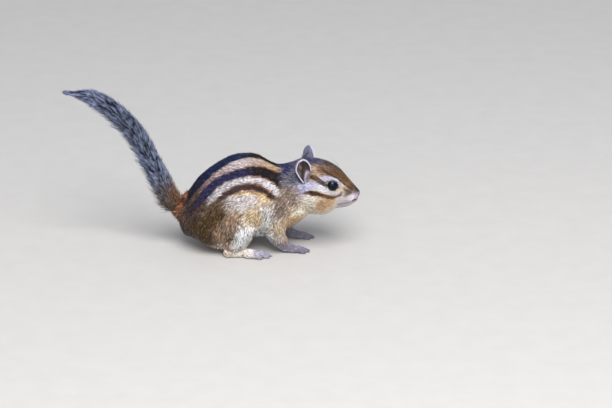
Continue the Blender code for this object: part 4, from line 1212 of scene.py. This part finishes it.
def make_ears(tones, skin, hair):
    """Thin cups with a dark hollow, hair on their backs and a pale rim."""
    for name, side, lean, yaw, ahead in EARS:
        chance = np.random.default_rng(SEEDS["ears"])
        cup, turn = ear_shape(lean, yaw)
        points = folded(cup, turn, tones)
        cup.name = "skin_" + name
        bpy.ops.object.select_all(action="DESELECT")
        unwrapped(cup, 0.004)

        def set_on(places):
            return placed(turned((places + (ahead, 0, 0)) * (1, side, 1), HEAD_TURN))

        def set_way(ways):
            return turned_way(ways * (1, side, 1), HEAD_TURN)

        def count(places, normals):
            own, hollow, rim = ear_place(places, normals, turn)
            return np.where(hollow, 1.6 + 9 * smooth(-0.1, -0.03, rim), 9.0) * smooth(-1.0, -0.8, own[:, 2])

        roots, normals, uv = skin_roots(cup.data, chance, count, 1.0)
        own, hollow, rim = ear_place(roots, normals, turn)
        edge = smooth(-0.1, -0.03, rim)
        up, mouth = turn @ numbers(0, 0, 1), turn @ numbers(0, -1, 0)
        ways = up * 1.0 + mouth * (edge * 0.7)[:, None] + np.where(hollow, -0.2, 0.0)[:, None] * mouth
        ways = laid(ways + chance.normal(0, 0.15, ways.shape), normals)
        n = len(roots)
        length = np.where(hollow, 0.9, 1.1) * chance.uniform(0.6, 1.1, n)
        tint = mixed(tones["ear_outside"], tones["ear_inside"] * 1.5, hollow.astype(float))
        lit = np.maximum(0.85 * edge, 0.8 * pale_share(own, hollow))
        tint = mixed(tint * np.exp(chance.normal(0, 0.22, n))[:, None], tones["ear_rim"], lit)
        luck = chance.random(n)
        half = 0.11 * chance.uniform(0.8, 1.2, n) * MM
        lift = set_way(normals) * 0.22 * length[:, None] * MM
        hairs = (set_on(roots), set_way(ways), lift, length * MM, half, np.clip(tint, 0, 1), luck, uv)
        coat = tufts("coat_" + name, hairs, HAIR)
        cup.data.vertices.foreach_set("co", set_on(points).ravel())
        if side < 0:
            cup.data.flip_normals()
        smoothed(cup.data)
        finished(cup, skin, (name,))
        finished(coat, hair)


# Claws and whiskers


def toe_lines(plan):
    """Knuckle and tip of each toe on the right side."""
    root = numbers(plan["root"])
    for across, start, length in plan["toes"]:
        knuckle = root + (start + 0.45 * length, across * 1.12, 0.7)
        yield knuckle, root + (start + length, across * (1.12 + 0.032 * length), 1.05 * plan["radius"] - root[2])


def make_claws(material):
    """Curved claws on every toe."""
    bm = bmesh.new()
    t = np.linspace(0, 1, 7)
    radii = 0.6 * (1 - t) ** 0.8 + 0.07
    arch = 0.35 * np.sin(math.pi * np.minimum(1.2 * t, 1)) - 0.75 * t * t
    for plan in (HIND_FOOT, FORE_FOOT):
        for knuckle, tip in toe_lines(plan):
            flat = unit((tip - knuckle) * (1, 1, 0))
            path = tip + flat * (-0.9 + 3.0 * t)[:, None] + arch[:, None] * (0, 0, 1)
            path[:, 2] = np.maximum(path[:, 2], radii + 0.36)
            horn(bm, path, radii)
            horn(bm, path * (1, -1, 1) + (plan["shift"], 0, 0), radii)
    bmesh.ops.recalc_face_normals(bm, faces=bm.faces)
    finished(made(bm, "claws"), material)


def make_whiskers(material):
    """Fine bent whiskers on the muzzle, over the eyes and on the cheeks."""
    chance = np.random.default_rng(SEEDS["whiskers"])
    bm = bmesh.new()
    rows = [
        ((95.2 - 1.5 * c, -6.7 - 0.55 * c, 43.0 - 1.35 * r), 14 + 2.6 * c, r, c) for r in range(4) for c in range(4)
    ]
    rows += [((86.5, -10.9, 57.2), 9, -2, 2), ((85.6, -11.2, 57.5), 8, -3, 2), ((80, -15.4, 43.2), 9, 1, 4)]
    t = np.linspace(0, 1, 12)[:, None]
    for root, length, row, column in rows:
        for side in (1, -1):
            out = unit(numbers(-0.25 - 0.16 * column, -1, 0.32 - 0.24 * row) + chance.normal(0, 0.07, 3))
            back = unit(numbers(-1, -0.35, -0.15 - 0.1 * row))
            size = length * chance.uniform(0.85, 1.12)
            path = numbers(root) - out * 0.6 + out * t * size * (1 - 0.25 * t) + back * size * 0.42 * t * t
            horn(bm, turned(path * (1, side, 1), HEAD_TURN), 0.075 * (1 - t[:, 0]) ** 0.7 + 0.012, 5)
    bmesh.ops.recalc_face_normals(bm, faces=bm.faces)
    finished(made(bm, "whiskers"), material)


# Materials


class Value:
    """A shader socket with arithmetic: numbers and other sockets may stand on either side."""

    def __init__(self, shader, socket):
        self.shader = shader
        self.socket = socket

    def math(self, operation, other):
        return self.shader.add("ShaderNodeMath", {"operation": operation}, {0: self, 1: other})

    def __add__(self, other):
        return self.math("ADD", other)

    def __mul__(self, other):
        return self.math("MULTIPLY", other)

    def __sub__(self, other):
        return self.math("SUBTRACT", other)

    def __rsub__(self, other):
        return (self * -1.0) + other

    __radd__ = __add__
    __rmul__ = __mul__

    def ramp(self, low, high, to_low=0.0, to_high=1.0):
        bounds = dict(enumerate((self, low, high, to_low, to_high)))
        return self.shader.add("ShaderNodeMapRange", {"interpolation_type": "SMOOTHSTEP"}, bounds)


class Shader:
    """A material's node tree with its Principled shader."""

    def __init__(self, name):
        self.material = bpy.data.materials.new(name)
        self.material.use_nodes = True
        self.tree = self.material.node_tree
        self.surface = self.tree.nodes["Principled BSDF"]

    def feed(self, socket, value):
        if isinstance(value, Value):
            self.tree.links.new(value.socket, socket)
        else:
            socket.default_value = value

    def add(self, kind, settings=None, inputs=None, output=0):
        """The output of a new node."""
        node = self.tree.nodes.new(kind)
        for key, value in (settings or {}).items():
            setattr(node, key, value)
        for key, value in (inputs or {}).items():
            self.feed(node.inputs[key], value)
        return Value(self, node.outputs[output])

    def attribute(self, name, output):
        return self.add("ShaderNodeAttribute", {"attribute_name": name}, output=output)

    def noise(self, scale, detail):
        place = self.add("ShaderNodeTexCoord", output="Object")
        return self.add("ShaderNodeTexNoise", inputs={"Vector": place, "Scale": scale, "Detail": detail})

    def mix(self, share, one, two):
        return self.add("ShaderNodeMix", {"data_type": "RGBA"}, {"Factor": share, 6: one, 7: two}, 2)

    def scaled(self, colour, factor):
        """A colour times a number."""
        return self.add("ShaderNodeVectorMath", {"operation": "SCALE"}, {0: colour, "Scale": factor})

    def set(self, **values):
        for key, value in values.items():
            self.feed(self.surface.inputs[key.replace("_", " ")], value)

    def bump(self, height, distance, strength):
        relief = {"Height": height, "Distance": distance, "Strength": strength}
        self.set(Normal=self.add("ShaderNodeBump", inputs=relief))


def hair_shader(name):
    """A shader with its hair's own tone, share of its length, and chance."""
    s = Shader(name)
    return s, s.attribute("coat", "Color"), s.attribute("along", "Fac"), s.attribute("chance", "Fac")


def hair_material(name, pale_ends, dark_roots):
    """Hair: its own tone, darker at the root, ticked by chance towards the tip."""
    s, coat, along, luck = hair_shader(name)
    shade = along.ramp(0.0, 0.75, 1.0 - dark_roots, 1.0)
    tick = (luck - 0.5) * along.ramp(0.3, 1.0) * pale_ends
    grain = s.noise(900.0, 2.0) - 0.5
    s.set(Base_Color=s.scaled(coat, shade * (tick + grain * 0.25 + 1.0)), Roughness=along.ramp(0, 1, 0.7, 0.5))
    s.set(Specular_IOR_Level=0.16, Sheen_Weight=0.03, Sheen_Roughness=0.5)
    return s.material


def tail_material():
    """Tail hair: dark band before a pale end."""
    s, coat, along, luck = hair_shader("tail_hair")
    band = (along + luck * 0.25).ramp(0.3, 0.55) * (1.0 - (along + luck * 0.25).ramp(0.75, 0.95))
    s.set(Base_Color=s.scaled(coat, (1.15 - band * 0.55) * (along.ramp(0.8, 1.0) * 0.5 + 1.0)))
    s.set(Roughness=0.55, Specular_IOR_Level=0.18, Sheen_Weight=0.03)
    return s.material


def skin_material():
    """Skin under the hair: the coat's tone, deeper, with a short nap."""
    s = Shader("pelt_skin")
    fine = s.noise(2600.0, 3.0)
    s.set(Base_Color=s.scaled(s.attribute("coat", "Color"), fine * 0.35 + 0.62))
    s.set(Roughness=0.75, Specular_IOR_Level=0.15)
    s.bump(fine, 0.0002, 0.5)
    return s.material


def ear_material():
    """Thin bare skin in the coat's tone."""
    s = Shader("ear_skin")
    fine = s.noise(1500.0, 3.0)
    s.set(Base_Color=s.scaled(s.attribute("coat", "Color"), fine * 0.4 + 0.75), Roughness=fine * 0.3 + 0.5)
    s.bump(fine, 0.00015, 0.4)
    return s.material


def two_toned(name, scale, detail, one, two):
    """A shader that goes from one tone to the other with a noise, and the noise."""
    s = Shader(name)
    fine = s.noise(scale, detail)
    s.set(Base_Color=s.mix(fine, (*one, 1), (*two, 1)))
    return s, fine


def matt_material(name, scale, detail, one, two, roughness):
    s, _ = two_toned(name, scale, detail, one, two)
    s.set(Roughness=roughness)
    return s.material


def eye_material():
    """Black ball with a bluish gloss."""
    s, _ = two_toned("eye", 300.0, 2.0, (0.001, 0.001, 0.002), (0.003, 0.002, 0.002))
    s.set(Roughness=0.04, Specular_IOR_Level=0.3, Specular_Tint=(0.4, 0.64, 1.0, 1))
    return s.material


def lid_material():
    """Dark bare skin with a fine grain."""
    s, fine = two_toned("lid_skin", 2400.0, 3.0, (0.008, 0.006, 0.006), (0.034, 0.024, 0.024))
    s.set(Roughness=fine * 0.25 + 0.3, Specular_IOR_Level=0.3)
    s.bump(fine, 0.0001, 0.4)
    return s.material


def claw_material():
    return matt_material("claw", 1800.0, 2.0, (0.05, 0.04, 0.035), (0.13, 0.1, 0.085), 0.42)


def whisker_material():
    return matt_material("whisker", 150.0, 2.0, (0.03, 0.025, 0.022), (0.32, 0.28, 0.25), 0.4)


def ground_material():
    return matt_material("ground", 60.0, 4.0, (0.39, 0.365, 0.335), (0.43, 0.405, 0.375), 0.9)


# Stage


def make_stage():
    """Pale ground, soft daylight and the photograph's view."""
    scene = bpy.context.scene
    rise, distance = math.radians(CAMERA["rise"]), CAMERA["distance"]
    camera = bpy.data.cameras.new("view")
    camera.sensor_width = CAMERA["sensor"]
    camera.lens = CAMERA["sensor"] * distance / CAMERA["width"]
    camera.clip_end = CAMERA["end"]
    view = bpy.data.objects.new("view", camera)
    view.location = Vector(placed(CAMERA["target"])) + Vector((0, -math.cos(rise), math.sin(rise))) * distance
    view.rotation_euler = (math.pi / 2 - rise, 0, 0)
    scene.collection.objects.link(view)
    scene.camera = view

    bm = bmesh.new()
    bmesh.ops.create_grid(bm, x_segments=2, y_segments=2, size=GROUND_SIZE)
    ground = made(bm, "ground")
    ground.data.materials.append(ground_material())

    scene.world = bpy.data.worlds.new("sky")
    scene.world.use_nodes = True
    for key, value in SKY.items():
        scene.world.node_tree.nodes["Background"].inputs[key].default_value = value
    for name, place, size, power, colour in LIGHTS:
        light = bpy.data.lights.new(name, "AREA")
        light.shape = "DISK"
        light.size = size
        light.energy = power
        light.color = colour
        lamp = bpy.data.objects.new(name, light)
        lamp.location = place
        lamp.rotation_euler = (Vector(LIT_PLACE) - lamp.location).to_track_quat("-Z", "Y").to_euler()
        scene.collection.objects.link(lamp)
    scene.view_settings.view_transform = "Standard"


class CHIPMUNK_OT_skin_and_coat(bpy.types.Operator):
    """Lay the skin over the flesh solids and grow the coat on it"""

    bl_idname = "chipmunk.skin_and_coat"
    bl_label = "Skin and coat"

    def execute(self, context):
        tones, fur = palette(context.scene.chipmunk_tones), context.scene.chipmunk_fur
        pelt = make_skin(fur)
        store(pelt.data, "coat", coat_colour(drawn(arrays(pelt.data)[0]), tones))
        make_coat(pelt, tones, fur, hair_material("body_hair", 0.7, 0.45))
        finished(pelt, skin_material(), FLESH)
        make_tail(tones, fur, tail_material())
        return {"FINISHED"}


class CHIPMUNK_OT_small_parts(bpy.types.Operator):
    """Make the eyes, ears, claws and whiskers"""

    bl_idname = "chipmunk.small_parts"
    bl_label = "Eyes, ears, claws and whiskers"

    def execute(self, context):
        make_eyes(eye_material())
        make_lids(lid_material())
        make_ears(palette(context.scene.chipmunk_tones), ear_material(), hair_material("ear_hair", 0.4, 0.2))
        make_claws(claw_material())
        make_whiskers(whisker_material())
        return {"FINISHED"}


class CHIPMUNK_OT_stage(bpy.types.Operator):
    """Set the ground, the lights and the view"""

    bl_idname = "chipmunk.stage"
    bl_label = "Stage"

    def execute(self, context):
        make_stage()
        return {"FINISHED"}


class CHIPMUNK_PT_panel(bpy.types.Panel):
    """Sizes and tones of the chipmunk model"""

    bl_label = "Chipmunk"
    bl_space_type = "VIEW_3D"
    bl_region_type = "UI"
    bl_category = "Chipmunk"

    def draw(self, context):
        for group in (context.scene.chipmunk_fur, context.scene.chipmunk_tones):
            for key in group.__annotations__:
                self.layout.prop(group, key)
        for operator in OPERATORS:
            self.layout.operator(operator.bl_idname)


GROUPS = (ChipmunkTones, ChipmunkFur)
OPERATORS = (CHIPMUNK_OT_skin_and_coat, CHIPMUNK_OT_small_parts, CHIPMUNK_OT_stage)


def register():
    for item in (*GROUPS, *OPERATORS, CHIPMUNK_PT_panel):
        bpy.utils.register_class(item)
    bpy.types.Scene.chipmunk_tones = bpy.props.PointerProperty(type=ChipmunkTones)
    bpy.types.Scene.chipmunk_fur = bpy.props.PointerProperty(type=ChipmunkFur)


def unregister():
    del bpy.types.Scene.chipmunk_tones
    del bpy.types.Scene.chipmunk_fur
    for item in reversed((*GROUPS, *OPERATORS, CHIPMUNK_PT_panel)):
        bpy.utils.unregister_class(item)


def main():
    register()
    bpy.ops.chipmunk.skin_and_coat()
    bpy.ops.chipmunk.small_parts()
    bpy.ops.chipmunk.stage()


if __name__ == "__main__":
    main()
